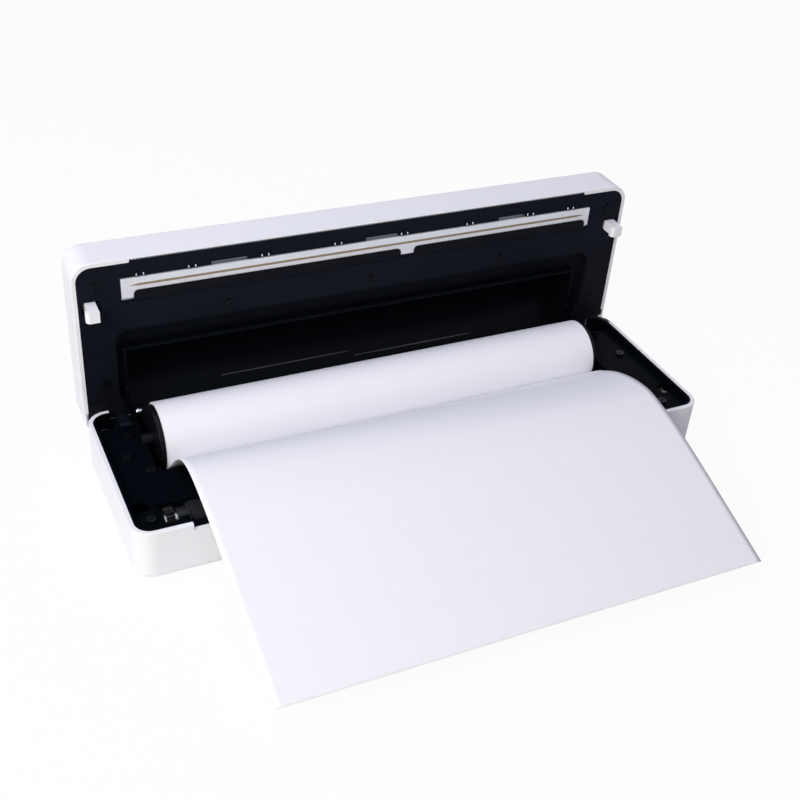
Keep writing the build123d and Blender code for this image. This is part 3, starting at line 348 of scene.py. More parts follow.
# Black oxide on cold-headed steel: a thin dark conversion coat that keeps some metal shine.
black_oxide, tree, place = new_material("black_oxide_steel")
mottle = add_node(tree, "ShaderNodeTexNoise", {"Scale": 1 / 0.0006}, {"Vector": (place, "Object")})
tone = add_node(
    tree,
    "ShaderNodeMix",
    {"data_type": "RGBA", 6: linear("#0A0B0E"), 7: linear("#191B20")},
    {0: (mottle, 0)},
)
shader = add_node(
    tree,
    "ShaderNodeBsdfPrincipled",
    {"Metallic": 0.6, "Roughness": 0.38, "Specular IOR Level": 0.2},
    {"Base Color": (tone, 2)},
)
add_node(tree, "ShaderNodeOutputMaterial", links={"Surface": (shader, 0)})
dress(black_oxide, "lid_screws", "deck_screws", "cover_screw")

# Zinc plate with a clear passivate: light grey with a faint blue and straw mottle.
zinc_plate, tree, place = new_material("zinc_plated_steel")
mottle = add_node(tree, "ShaderNodeTexNoise", {"Scale": 1 / 0.0009}, {"Vector": (place, "Object")})
tone = add_node(
    tree,
    "ShaderNodeMix",
    {"data_type": "RGBA", 6: linear("#B9BEC8"), 7: linear("#CDCABF")},
    {0: (mottle, 0)},
)
shader = add_node(
    tree,
    "ShaderNodeBsdfPrincipled",
    {"Metallic": 1.0, "Roughness": 0.28},
    {"Base Color": (tone, 2)},
)
add_node(tree, "ShaderNodeOutputMaterial", links={"Surface": (shader, 0)})
dress(zinc_plate, "base_screws")

# ---- Hinge pins and shafts ----
# Ground steel rod cut to length: the two hinge pins, the platen's shaft and the idler's post.

# a Wave texture of scale 1 repeats every 0.314 m
wave_length = 0.314

# Centreless-ground steel: fine rings around the rod, 0.15 mm apart and drawn at 0.5 mm.
ground_steel, tree, place = new_material("centreless_ground_steel")
rings = add_node(
    tree,
    "ShaderNodeTexWave",
    {"bands_direction": "X", "Scale": wave_length / 0.0005, "Distortion": 2.0, "Detail": 2.0},
    {"Vector": (place, "Object")},
)
polish = add_node(
    tree, "ShaderNodeMapRange", {"To Min": 0.16, "To Max": 0.30}, {"Value": (rings, 1)}
)
tone = add_node(
    tree,
    "ShaderNodeMix",
    {"data_type": "RGBA", 6: linear("#A9ACB2"), 7: linear("#C2C4C9")},
    {0: (rings, 1)},
)
shader = add_node(
    tree,
    "ShaderNodeBsdfPrincipled",
    {"Metallic": 1.0},
    {"Base Color": (tone, 2), "Roughness": (polish, 0)},
)
add_node(tree, "ShaderNodeOutputMaterial", links={"Surface": (shader, 0)})
dress(ground_steel, "hinge_pin_left", "hinge_pin_right", "platen_shaft", "idler_post")

# ---- Platen roller and its bushes ----
# Black silicone rubber is moulded on the shaft and ground true, which leaves it dull with fine
# turns around it. It runs in two dark acetal bushes that drop into the bearing blocks.

# Ground silicone rubber: turns 0.2 mm apart, drawn at 0.6 mm.
ground_rubber, tree, place = new_material("ground_silicone_rubber")
turns = add_node(
    tree,
    "ShaderNodeTexWave",
    {"bands_direction": "X", "Scale": wave_length / 0.0006, "Distortion": 1.5},
    {"Vector": (place, "Object")},
)
tone = add_node(
    tree,
    "ShaderNodeMix",
    {"data_type": "RGBA", 6: linear("#090A0D"), 7: linear("#111317")},
    {0: (turns, 1)},
)
bump = add_node(
    tree, "ShaderNodeBump", {"Strength": 0.2, "Distance": 0.00005}, {"Height": (turns, 1)}
)
shader = add_node(
    tree,
    "ShaderNodeBsdfPrincipled",
    {"Roughness": 0.7, "IOR": 1.41, "Specular IOR Level": 0.3},
    {"Base Color": (tone, 2), "Normal": (bump, 0)},
)
add_node(tree, "ShaderNodeOutputMaterial", links={"Surface": (shader, 0)})
dress(ground_rubber, "platen_roller")

# Moulded black acetal: waxy and smooth, a little lighter than the liners.
black_acetal, tree, place = new_material("moulded_black_acetal")
cloud = add_node(tree, "ShaderNodeTexNoise", {"Scale": 1 / 0.002}, {"Vector": (place, "Object")})
wax = add_node(tree, "ShaderNodeMapRange", {"To Min": 0.3, "To Max": 0.42}, {"Value": (cloud, 0)})
tone = add_node(
    tree,
    "ShaderNodeMix",
    {"data_type": "RGBA", 6: linear("#0C0D11"), 7: linear("#15171C")},
    {0: (cloud, 0)},
)
shader = add_node(
    tree,
    "ShaderNodeBsdfPrincipled",
    {"IOR": 1.48, "Specular IOR Level": 0.25},
    {"Base Color": (tone, 2), "Roughness": (wax, 0)},
)
add_node(tree, "ShaderNodeOutputMaterial", links={"Surface": (shader, 0)})
dress(black_acetal, "platen_bush_left", "platen_bush_right")

# ---- Gears ----
# The platen's gear and the idler are moulded in the bushes' black acetal, which runs dry. The
# motor's pinion is hobbed from brass bar.
dress(black_acetal, "platen_gear", "idler_gear")

# Cut brass: hob marks across the teeth, 0.3 mm apart.
cut_brass, tree, place = new_material("hobbed_brass")
marks = add_node(
    tree,
    "ShaderNodeTexWave",
    {"bands_direction": "X", "Scale": wave_length / 0.0003, "Distortion": 1.0},
    {"Vector": (place, "Object")},
)
tone = add_node(
    tree,
    "ShaderNodeMix",
    {"data_type": "RGBA", 6: linear("#C29A4E"), 7: linear("#D8B56C")},
    {0: (marks, 1)},
)
shader = add_node(
    tree,
    "ShaderNodeBsdfPrincipled",
    {"Metallic": 1.0, "Roughness": 0.28},
    {"Base Color": (tone, 2)},
)
add_node(tree, "ShaderNodeOutputMaterial", links={"Surface": (shader, 0)})
dress(cut_brass, "motor_pinion")

# ---- Stepper motor and its bracket ----
# A small stepper in a drawn can sits behind a pressed plate. Both are zinc-coated sheet steel.

# Galvanised sheet: the coat's crystals are 2 to 3 mm across and differ in brightness.
galvanised, tree, place = new_material("galvanised_sheet")
crystals = add_node(
    tree, "ShaderNodeTexVoronoi", {"Scale": 1 / 0.0025}, {"Vector": (place, "Object")}
)
tone = add_node(
    tree,
    "ShaderNodeMix",
    {"data_type": "RGBA", 6: linear("#9FA3A8"), 7: linear("#C9CCD0")},
    {0: (crystals, "Color")},
)
frost = add_node(
    tree, "ShaderNodeMapRange", {"To Min": 0.28, "To Max": 0.45}, {"Value": (crystals, "Color")}
)
shader = add_node(
    tree,
    "ShaderNodeBsdfPrincipled",
    {"Metallic": 1.0},
    {"Base Color": (tone, 2), "Roughness": (frost, 0)},
)
add_node(tree, "ShaderNodeOutputMaterial", links={"Surface": (shader, 0)})
dress(galvanised, "stepper_motor", "motor_bracket")

# ---- Battery ----
# A flat lithium pack in blue heat-shrink film, lying in the floor of the base. The film is
# glossy and puckers a little where it shrank.

# PVC shrink film: 4 mm puckers and a soft gloss.
shrink_film, tree, place = new_material("blue_shrink_film")
pucker = add_node(
    tree,
    "ShaderNodeTexNoise",
    {"Scale": 1 / 0.004, "Distortion": 0.6},
    {"Vector": (place, "Object")},
)
tone = add_node(
    tree,
    "ShaderNodeMix",
    {"data_type": "RGBA", 6: linear("#1F4C96"), 7: linear("#2A5CAB")},
    {0: (pucker, 0)},
)
bump = add_node(
    tree, "ShaderNodeBump", {"Strength": 0.35, "Distance": 0.0003}, {"Height": (pucker, 0)}
)
shader = add_node(
    tree,
    "ShaderNodeBsdfPrincipled",
    {"Roughness": 0.22, "IOR": 1.54, "Coat Weight": 0.3},
    {"Base Color": (tone, 2), "Normal": (bump, 0)},
)
add_node(tree, "ShaderNodeOutputMaterial", links={"Surface": (shader, 0)})
dress(shrink_film, "battery_pack")

# ---- Main board ----
# A narrow two-layer board stands on two posts by the right wall, with its chips and passive
# parts soldered on top, a charging socket in the wall and a tact switch behind the button.

# Green solder mask over copper: the tracks show as slightly lighter lines 1.2 mm apart.
solder_mask, tree, place = new_material("green_solder_mask")
tracks = add_node(
    tree,
    "ShaderNodeTexBrick",
    {
        "Scale": 1 / 0.0048,
        "Mortar Size": 0.05,
        "Color1": linear("#0E5A36"),
        "Color2": linear("#106541"),
        "Mortar": linear("#2B8A5C"),
    },
    {"Vector": (place, "Object")},
)
shader = add_node(
    tree,
    "ShaderNodeBsdfPrincipled",
    {"Roughness": 0.3, "IOR": 1.5, "Coat Weight": 0.4},
    {"Base Color": (tracks, 0)},
)
add_node(tree, "ShaderNodeOutputMaterial", links={"Surface": (shader, 0)})
dress(solder_mask, "main_board")

# Tin-plated steel shell of the socket: bright, with fine drawing lines along it.
tinned_steel, tree, place = new_material("tin_plated_steel")
lines = add_node(
    tree,
    "ShaderNodeTexWave",
    {"bands_direction": "Z", "Scale": wave_length / 0.0002, "Distortion": 3.0},
    {"Vector": (place, "Object")},
)
polish = add_node(
    tree, "ShaderNodeMapRange", {"To Min": 0.2, "To Max": 0.34}, {"Value": (lines, 1)}
)
shader = add_node(
    tree,
    "ShaderNodeBsdfPrincipled",
    {"Base Color": linear("#C6C7CA"), "Metallic": 1.0},
    {"Roughness": (polish, 0)},
)
add_node(tree, "ShaderNodeOutputMaterial", links={"Surface": (shader, 0)})
dress(tinned_steel, "usb_socket")
dress(black_acetal, "power_switch")


def new_piece(name, points, faces, material, smooth=True):
    """Makes an object from an array of points and an array or list of faces."""
    mesh = bpy.data.meshes.new(name)
    mesh.from_pydata(np.reshape(points, (-1, 3)).tolist(), [], [list(map(int, f)) for f in faces])
    mesh.materials.append(material)
    mesh.polygons.foreach_set("use_smooth", np.full(len(mesh.polygons), smooth))
    mesh.update()
    piece = bpy.data.objects.new(name, mesh)
    bpy.context.scene.collection.objects.link(piece)
    return piece


def soldered_parts(name, bottom, rows, bevel, material):
    """Blocks with a bevelled top, one per row of centre x, centre y, length, width and height.

    Each block is three rectangles: the foot, the same lifted to a bevel's depth under the top,
    and the top drawn in by the bevel. All blocks are worked out as one array.
    """
    x, y, length, width, height = np.array(rows).T
    corner = np.array([(-1, -1), (1, -1), (1, 1), (-1, 1)]) / 2
    rings = []
    for drawn_in, level in ((0, 0 * height), (0, height - bevel), (bevel, height)):
        ring_x = x[:, None] + corner[:, 0] * (length - 2 * drawn_in)[:, None]
        ring_y = y[:, None] + corner[:, 1] * (width - 2 * drawn_in)[:, None]
        rings.append(np.stack([ring_x, ring_y, bottom + np.repeat(level[:, None], 4, 1)], -1))
    points = np.stack(rings, 1)
    side = np.arange(4)
    wall = np.stack([side, (side + 1) % 4, (side + 1) % 4 + 4, side + 4], -1)
    one = np.concatenate([[[3, 2, 1, 0]], wall, wall + 4, [[8, 9, 10, 11]]])
    faces = (one + 12 * np.arange(len(rows))[:, None, None]).reshape(-1, 4)
    return new_piece(name, points, faces, material, smooth=False)


board_top = 0.0091

# Transfer-moulded epoxy: dull charcoal, with a 0.5 mm grain.
chip_epoxy, tree, place = new_material("moulded_chip_epoxy")
grain = add_node(tree, "ShaderNodeTexNoise", {"Scale": 1 / 0.0005}, {"Vector": (place, "Object")})
tone = add_node(
    tree,
    "ShaderNodeMix",
    {"data_type": "RGBA", 6: linear("#17181A"), 7: linear("#26272A")},
    {0: (grain, 0)},
)
shader = add_node(
    tree, "ShaderNodeBsdfPrincipled", {"Roughness": 0.6, "IOR": 1.55}, {"Base Color": (tone, 2)}
)
add_node(tree, "ShaderNodeOutputMaterial", links={"Surface": (shader, 0)})
chips = soldered_parts(
    "board_chips",
    board_top,
    [
        (0.1212, 0.0285, 0.0070, 0.0070, 0.0009),
        (0.1200, 0.0120, 0.0050, 0.0050, 0.0008),
        (0.1190, 0.0500, 0.0040, 0.0049, 0.0015),
        (0.1275, 0.0330, 0.0030, 0.0030, 0.0010),
        (0.1180, 0.0400, 0.0029, 0.0016, 0.0010),
    ],
    0.00015,
    chip_epoxy,
)
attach(chips, "base")

# Barium titanate ceramic with tinned ends: tan blocks, 1 to 2 mm long.
capacitor_tan, tree, place = new_material("ceramic_capacitor")
mottle = add_node(tree, "ShaderNodeTexNoise", {"Scale": 1 / 0.0004}, {"Vector": (place, "Object")})
tone = add_node(
    tree,
    "ShaderNodeMix",
    {"data_type": "RGBA", 6: linear("#A98A63"), 7: linear("#C2A780")},
    {0: (mottle, 0)},
)
shader = add_node(
    tree, "ShaderNodeBsdfPrincipled", {"Roughness": 0.4, "IOR": 1.6}, {"Base Color": (tone, 2)}
)
add_node(tree, "ShaderNodeOutputMaterial", links={"Surface": (shader, 0)})
capacitors = soldered_parts(
    "board_capacitors",
    board_top,
    [
        (0.1175 + 0.0022 * (i % 3), 0.0180 + 0.0032 * (i // 3), 0.0016, 0.0008, 0.0008)
        for i in range(6)
    ]
    + [(0.1265, 0.0065 + 0.0025 * i, 0.0020, 0.0012, 0.0012) for i in range(3)]
    + [(0.1185 + 0.0026 * i, 0.0345, 0.0016, 0.0008, 0.0008) for i in range(3)],
    0.0001,
    capacitor_tan,
)
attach(capacitors, "base")

# Natural nylon of the wire headers: cream, slightly shiny.
header_nylon, tree, place = new_material("natural_nylon")
cloud = add_node(tree, "ShaderNodeTexNoise", {"Scale": 1 / 0.002}, {"Vector": (place, "Object")})
tone = add_node(
    tree,
    "ShaderNodeMix",
    {"data_type": "RGBA", 6: linear("#E4DFCF"), 7: linear("#EEEADD")},
    {0: (cloud, 0)},
)
shader = add_node(
    tree, "ShaderNodeBsdfPrincipled", {"Roughness": 0.38, "IOR": 1.53}, {"Base Color": (tone, 2)}
)
add_node(tree, "ShaderNodeOutputMaterial", links={"Surface": (shader, 0)})
headers = soldered_parts(
    "board_headers",
    board_top,
    [(0.1190, 0.0570, 0.0045, 0.0060, 0.0050), (0.1205, 0.0058, 0.0080, 0.0042, 0.0045)],
    0.0003,
    header_nylon,
)
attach(headers, "base")

# ---- Power button, light and release slider ----
# Small satin grey mouldings: the button and its milky light pipe in the right wall, and the
# slider on the lid's top that draws the latch.

# Moulded grey ABS: finer grain than the case, drawn at 0.5 mm.
grey_abs, tree, place = new_material("moulded_grey_abs")
grain = add_node(tree, "ShaderNodeTexNoise", {"Scale": 1 / 0.0005}, {"Vector": (place, "Object")})
tone = add_node(
    tree,
    "ShaderNodeMix",
    {"data_type": "RGBA", 6: linear("#B9BAC3"), 7: linear("#C4C5CD")},
    {0: (grain, 0)},
)
bump = add_node(
    tree, "ShaderNodeBump", {"Strength": 0.15, "Distance": 0.0001}, {"Height": (grain, 0)}
)
shader = add_node(
    tree,
    "ShaderNodeBsdfPrincipled",
    {"Roughness": 0.4, "IOR": 1.53, "Specular IOR Level": 0.35},
    {"Base Color": (tone, 2), "Normal": (bump, 0)},
)
add_node(tree, "ShaderNodeOutputMaterial", links={"Surface": (shader, 0)})
dress(grey_abs, "power_button", "release_slider")

# Milky polycarbonate: clear resin with a little diffuser in it.
milky_pc, tree, place = new_material("milky_polycarbonate")
haze = add_node(tree, "ShaderNodeTexNoise", {"Scale": 1 / 0.0007}, {"Vector": (place, "Object")})
tone = add_node(
    tree,
    "ShaderNodeMix",
    {"data_type": "RGBA", 6: linear("#E3E8EC"), 7: linear("#F2F5F7")},
    {0: (haze, 0)},
)
shader = add_node(
    tree,
    "ShaderNodeBsdfPrincipled",
    {"Roughness": 0.2, "IOR": 1.58, "Transmission Weight": 0.35},
    {"Base Color": (tone, 2)},
)
add_node(tree, "ShaderNodeOutputMaterial", links={"Surface": (shader, 0)})
dress(milky_pc, "light_pipe")

# ---- Paper sensor ----
# An infrared pair behind a smoked window, set level with the deck under the paper.

# Smoked polycarbonate: almost black, with a violet cast and a glossy face.
smoked_pc, tree, place = new_material("smoked_polycarbonate")
haze = add_node(tree, "ShaderNodeTexNoise", {"Scale": 1 / 0.001}, {"Vector": (place, "Object")})
tone = add_node(
    tree,
    "ShaderNodeMix",
    {"data_type": "RGBA", 6: linear("#170E19"), 7: linear("#231527")},
    {0: (haze, 0)},
)
shader = add_node(
    tree, "ShaderNodeBsdfPrincipled", {"Roughness": 0.12, "IOR": 1.58}, {"Base Color": (tone, 2)}
)
add_node(tree, "ShaderNodeOutputMaterial", links={"Surface": (shader, 0)})
dress(smoked_pc, "paper_sensor")

# ---- Paper roll, core and end caps ----
# Coated thermal paper wound on a card tube. Two black caps plug the tube, cover its ends with
# flanges and turn on short stubs in the trough's end walls.

# Thermal paper: bluish white coat, almost even, with fibre clouds 6 mm across and a faint gloss.
thermal_paper, tree, place = new_material("coated_thermal_paper")
fibres = add_node(
    tree,
    "ShaderNodeTexNoise",
    {"Scale": 1 / 0.006, "Detail": 6.0, "Roughness": 0.6},
    {"Vector": (place, "Object")},
)
tone = add_node(
    tree,
    "ShaderNodeMix",
    {"data_type": "RGBA", 6: linear("#F0EFF6"), 7: linear("#F4F3F9")},
    {0: (fibres, 0)},
)
bump = add_node(
    tree, "ShaderNodeBump", {"Strength": 0.05, "Distance": 0.0001}, {"Height": (fibres, 0)}
)
shader = add_node(
    tree,
    "ShaderNodeBsdfPrincipled",
    {"Roughness": 0.55, "IOR": 1.5, "Specular IOR Level": 0.3},
    {"Base Color": (tone, 2), "Normal": (bump, 0)},
)
add_node(tree, "ShaderNodeOutputMaterial", links={"Surface": (shader, 0)})

# The roll's ends show its turns as fine rings: 0.06 mm apart, drawn at 0.5 mm.
wound_paper, tree, place = new_material("wound_thermal_paper")
# the rings are centred on the roll's axis
centred = add_node(
    tree, "ShaderNodeMapping", {"Location": (0.0, -0.0519, -0.0224)}, {"Vector": (place, "Object")}
)
parts = add_node(tree, "ShaderNodeSeparateXYZ", links={"Vector": (centred, 0)})
flat_place = add_node(tree, "ShaderNodeCombineXYZ", links={"X": (parts, "Y"), "Y": (parts, "Z")})
turns = add_node(
    tree,
    "ShaderNodeTexWave",
    {
        "wave_type": "RINGS",
        "rings_direction": "Z",
        "Scale": wave_length / 0.0005,
        "Distortion": 0.3,
    },
    {"Vector": (flat_place, 0)},
)
tone = add_node(
    tree,
    "ShaderNodeMix",
    {"data_type": "RGBA", 6: linear("#E4E3EA"), 7: linear("#F3F2F8")},
    {0: (turns, 1)},
)
geometry = add_node(tree, "ShaderNodeNewGeometry")
facing = add_node(tree, "ShaderNodeSeparateXYZ", links={"Vector": (geometry, "Normal")})
end_on = add_node(tree, "ShaderNodeMath", {"operation": "ABSOLUTE"}, {0: (facing, "X")})
is_end = add_node(tree, "ShaderNodeMath", {"operation": "GREATER_THAN", 1: 0.5}, {0: (end_on, 0)})
coat = add_node(
    tree,
    "ShaderNodeMix",
    {"data_type": "RGBA", 6: linear("#F1F0F7")},
    {0: (is_end, 0), 7: (tone, 2)},
)
shader = add_node(
    tree,
    "ShaderNodeBsdfPrincipled",
    {"Roughness": 0.5, "IOR": 1.5, "Specular IOR Level": 0.35},
    {"Base Color": (coat, 2)},
)
add_node(tree, "ShaderNodeOutputMaterial", links={"Surface": (shader, 0)})
dress(wound_paper, "paper_roll")

# Wound kraft card: brown fibres along the winding, 3 mm long.
kraft_card, tree, place = new_material("wound_kraft_card")
fibres = add_node(
    tree,
    "ShaderNodeTexNoise",
    {"Scale": 1 / 0.003, "Detail": 8.0, "Distortion": 0.4},
    {"Vector": (place, "Object")},
)
tone = add_node(
    tree,
    "ShaderNodeMix",
    {"data_type": "RGBA", 6: linear("#8E7350"), 7: linear("#AF9472")},
    {0: (fibres, 0)},
)
bump = add_node(
    tree, "ShaderNodeBump", {"Strength": 0.3, "Distance": 0.0001}, {"Height": (fibres, 0)}
)
shader = add_node(
    tree,
    "ShaderNodeBsdfPrincipled",
    {"Roughness": 0.9},
    {"Base Color": (tone, 2), "Normal": (bump, 0)},
)
add_node(tree, "ShaderNodeOutputMaterial", links={"Surface": (shader, 0)})
dress(kraft_card, "core_tube")

# Moulded black polystyrene: smoother than the liners, and coloured darker than the lid's liner as
# painted shade at the roll's ends in the trough.
cap_black, tree, place = new_material("moulded_black_styrene")
cloud = add_node(tree, "ShaderNodeTexNoise", {"Scale": 1 / 0.005}, {"Vector": (place, "Object")})
tone = add_node(
    tree,
    "ShaderNodeMix",
    {"data_type": "RGBA", 6: linear("#06080C"), 7: linear("#0C0E13")},
    {0: (cloud, 0)},
)
gloss = add_node(tree, "ShaderNodeMapRange", {"To Min": 0.28, "To Max": 0.4}, {"Value": (cloud, 0)})
shader = add_node(
    tree,
    "ShaderNodeBsdfPrincipled",
    {"IOR": 1.59, "Specular IOR Level": 0.08},
    {"Base Color": (tone, 2), "Roughness": (gloss, 0)},
)
add_node(tree, "ShaderNodeOutputMaterial", links={"Surface": (shader, 0)})
dress(cap_black, "roll_cap_left", "roll_cap_right")

# ---- Drawn sheet ----
# One page pulled off the roll. It leaves the roll's underside, rises over the deck in a soft
# hump that stands higher at the left, and slopes down past the front wall to a torn-off end.


def smooth_run(knots, count):
    """Count points evenly spaced along a smooth curve through the knots.

    Between two knots the curve is the cubic whose slopes there are those of the line joining
    each knot's neighbours. It is sampled finely, then resampled by its own length.
    """
    knots = np.array(knots)
    slopes = np.gradient(knots, axis=0)
    t = np.linspace(0, len(knots) - 1, 40 * len(knots))
    i = np.minimum(t.astype(int), len(knots) - 2)
    s = (t - i)[:, None]
    fine = (
        (2 * s**3 - 3 * s**2 + 1) * knots[i]
        + (s**3 - 2 * s**2 + s) * slopes[i]
        + (3 * s**2 - 2 * s**3) * knots[i + 1]
        + (s**3 - s**2) * slopes[i + 1]
    )
    run = np.concatenate([[0], np.cumsum(np.linalg.norm(np.diff(fine, axis=0), axis=1))])
    even = np.linspace(0, run[-1], count)
    return np.stack([np.interp(even, run, fine[:, axis]) for axis in (0, 1)], -1)


def grid_faces(rows, columns):
    """The quads of a grid of points, row by row."""
    corner = (np.arange(rows - 1)[:, None] * columns + np.arange(columns - 1)).reshape(-1)
    return np.stack([corner, corner + 1, corner + columns + 1, corner + columns], -1)


points_along, points_across = 140, 85
# depth and height of the sheet's two edges, in millimetres of the shared frame's Y and Z
left_edge = smooth_run(
    [(39.8, 12.7), (33.8, 20.0), (26.4, 28.2), (18.9, 34.9), (12.0, 38.6), (5.0, 40.0)]
    + [(-3.0, 39.6), (-11.5, 38.0), (-19.6, 36.2), (-27.6, 33.7), (-48.2, 27.1)]
    + [(-71.0, 19.4), (-95.4, 11.0)],
    points_along,
)
right_edge = smooth_run(
    [(39.8, 12.7), (36.6, 19.0), (32.0, 23.4), (26.6, 26.8), (21.7, 29.7), (15.7, 32.6)]
    + [(8.2, 35.2), (0.5, 36.9), (-7.1, 37.5), (-15.5, 36.4), (-27.6, 33.7), (-48.2, 27.2)]
    + [(-71.0, 19.4), (-95.6, 10.9)],
    points_along,
)
across = np.linspace(0, 1, points_across)
lean = (across**2 * (3 - 2 * across))[:, None, None]
profile = (left_edge * (1 - lean) + right_edge * lean) * 0.001
sheet_left, sheet_width = -0.107, 0.210
sheet_x = (sheet_left + sheet_width * across)[:, None, None]
sheet_x = np.broadcast_to(sheet_x, profile.shape[:2] + (1,))
sheet_points = np.concatenate([sheet_x, profile], -1)
sheet_faces = grid_faces(points_across, points_along)[:, ::-1]
sheet = new_piece("drawn_sheet", sheet_points, sheet_faces, thermal_paper)
paper_gauge = sheet.modifiers.new("paper_gauge", "SOLIDIFY")
paper_gauge.thickness = 0.0001
paper_gauge.offset = 0.0
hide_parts("paper_sheet")
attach(sheet, "base")
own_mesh(sheet)

# ---- Print head ----
# A glazed alumina strip with the line of heaters printed along it, glued to an aluminium
# heatsink that four springs push down. A black encapsulant covers the driver chips.

# the free edge of the open lid, and how far below it the heaters lie
lid_top = 0.0972
heater_drop = 0.0125

# Glazed alumina: cold white with faint streaks. Below the heaters the printed conductors,
# 0.125 mm apart and drawn at 0.8 mm, even it out.
alumina, tree, place = new_material("glazed_alumina")
bands = add_node(
    tree, "ShaderNodeMapping", {"Scale": (0.04, 1.0, 1.0)}, {"Vector": (place, "Object")}
)
bands = add_node(tree, "ShaderNodeTexNoise", {"Scale": 1 / 0.0012}, {"Vector": (bands, 0)})
glaze = add_node(
    tree,
    "ShaderNodeMix",
    {"data_type": "RGBA", 6: linear("#D8DAE6"), 7: linear("#EAEBF6")},
    {0: (bands, 0)},
)
fingers = add_node(
    tree,
    "ShaderNodeTexWave",
    {"bands_direction": "X", "Scale": wave_length / 0.0008},
    {"Vector": (place, "Object")},
)
printed = add_node(
    tree,
    "ShaderNodeMix",
    {"data_type": "RGBA", 6: linear("#D9D8E4"), 7: linear("#E5E4EF")},
    {0: (fingers, 1)},
)
parts = add_node(tree, "ShaderNodeSeparateXYZ", links={"Vector": (place, "Object")})
below_line = add_node(
    tree,
    "ShaderNodeMapRange",
    {"From Min": lid_top - 0.0131, "From Max": lid_top - heater_drop, "To Min": 1.0, "To Max": 0.0},
    {"Value": (parts, "Z")},
)
tone = add_node(
    tree,
    "ShaderNodeMix",
    {"data_type": "RGBA"},
    {0: (below_line, 0), 6: (glaze, 2), 7: (printed, 2)},
)
shader = add_node(
    tree,
    "ShaderNodeBsdfPrincipled",
    {"Roughness": 0.2, "IOR": 1.6, "Specular IOR Level": 0.4},
    {"Base Color": (tone, 2)},
)
add_node(tree, "ShaderNodeOutputMaterial", links={"Surface": (shader, 0)})
dress(alumina, "printhead_ceramic")

# Fired resistor paste: a dull brown line, with the dots of the heaters 0.125 mm apart drawn
# at 0.6 mm.
heater_paste, tree, place = new_material("fired_resistor_paste")
dots = add_node(
    tree,
    "ShaderNodeTexWave",
    {"bands_direction": "X", "Scale": wave_length / 0.0006},
    {"Vector": (place, "Object")},
)
tone = add_node(
    tree,
    "ShaderNodeMix",
    {"data_type": "RGBA", 6: linear("#80705A"), 7: linear("#968468")},
    {0: (dots, 1)},
)
shader = add_node(
    tree, "ShaderNodeBsdfPrincipled", {"Roughness": 0.25, "IOR": 1.6}, {"Base Color": (tone, 2)}
)
add_node(tree, "ShaderNodeOutputMaterial", links={"Surface": (shader, 0)})


def tube_faces(rings, sides, copies=1, inwards=False):
    """The faces of a closed tube whose points run ring by ring.

    A quad joins a point and the next one round its ring to the same two of the next ring, and
    one face closes each end. Inwards turns them all over, for rings that run the other way.
    Copies of the tube follow each other in the array of points.
    """
    ring = np.arange(rings - 1)[:, None] * sides
    side = np.arange(sides)
    after = (side + 1) % sides
    quads = np.stack([ring + side, ring + after, ring + sides + after, ring + sides + side], -1)
    first, last = side, side + (rings - 1) * sides
    if inwards:
        quads, first, last = quads[..., [0, 3, 2, 1]], first[::-1], last[::-1]
    one = [*quads.reshape(-1, 4), first[::-1], last]
    return [(face + k * rings * sides).tolist() for k in range(copies) for face in one]


# the glaze bead: an ellipse, 1.1 mm wide and 0.06 mm proud, carried along the strip and
# closed at both ends; its back lies in the alumina
bead_rings, bead_sides = 60, 16
bead_angle = np.linspace(0, 2 * np.pi, bead_sides + 1)[:-1]
bead_x = np.linspace(-0.1094, 0.1097, bead_rings)
bead_swell = np.minimum(1, np.minimum(bead_x - bead_x[0], bead_x[-1] - bead_x) / 0.004 + 0.15)
ceramic_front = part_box("printhead_ceramic")[0]
bead = np.stack(
    [
        np.repeat(bead_x[:, None], bead_sides, 1),
        ceramic_front.y + 0.00006 * np.sin(bead_angle) * bead_swell[:, None],
        lid_top - heater_drop + 0.00055 * np.cos(bead_angle) * bead_swell[:, None],
    ],
    -1,
)
heater_line = new_piece("heater_line", bead, tube_faces(bead_rings, bead_sides), heater_paste)
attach(heater_line, "printhead")

# Black encapsulant film: smooth, with a slow ripple from the cure.
encapsulant, tree, place = new_material("black_encapsulant")
ripple = add_node(tree, "ShaderNodeTexNoise", {"Scale": 1 / 0.008}, {"Vector": (place, "Object")})
tone = add_node(
    tree,
    "ShaderNodeMix",
    {"data_type": "RGBA", 6: linear("#0B0D13"), 7: linear("#12151E")},
    {0: (ripple, 0)},
)
bump = add_node(
    tree, "ShaderNodeBump", {"Strength": 0.15, "Distance": 0.0002}, {"Height": (ripple, 0)}
)
shader = add_node(
    tree,
    "ShaderNodeBsdfPrincipled",
    {"Roughness": 0.35, "IOR": 1.5, "Specular IOR Level": 0.06},
    {"Base Color": (tone, 2), "Normal": (bump, 0)},
)
add_node(tree, "ShaderNodeOutputMaterial", links={"Surface": (shader, 0)})
dress(encapsulant, "printhead_cover")

# Drawn aluminium: die lines run along it, 0.2 mm apart and drawn at 0.4 mm.
drawn_aluminium, tree, place = new_material("drawn_aluminium")
lines = add_node(
    tree, "ShaderNodeMapping", {"Scale": (0.02, 1.0, 1.0)}, {"Vector": (place, "Object")}
)
lines = add_node(tree, "ShaderNodeTexNoise", {"Scale": 1 / 0.0004}, {"Vector": (lines, 0)})
tone = add_node(
    tree,
    "ShaderNodeMix",
    {"data_type": "RGBA", 6: linear("#84888F"), 7: linear("#A0A4AA")},
    {0: (lines, 0)},
)
satin = add_node(
    tree, "ShaderNodeMapRange", {"To Min": 0.26, "To Max": 0.42}, {"Value": (lines, 0)}
)
shader = add_node(
    tree,
    "ShaderNodeBsdfPrincipled",
    {"Metallic": 1.0},
    {"Base Color": (tone, 2), "Roughness": (satin, 0)},
)
add_node(tree, "ShaderNodeOutputMaterial", links={"Surface": (shader, 0)})
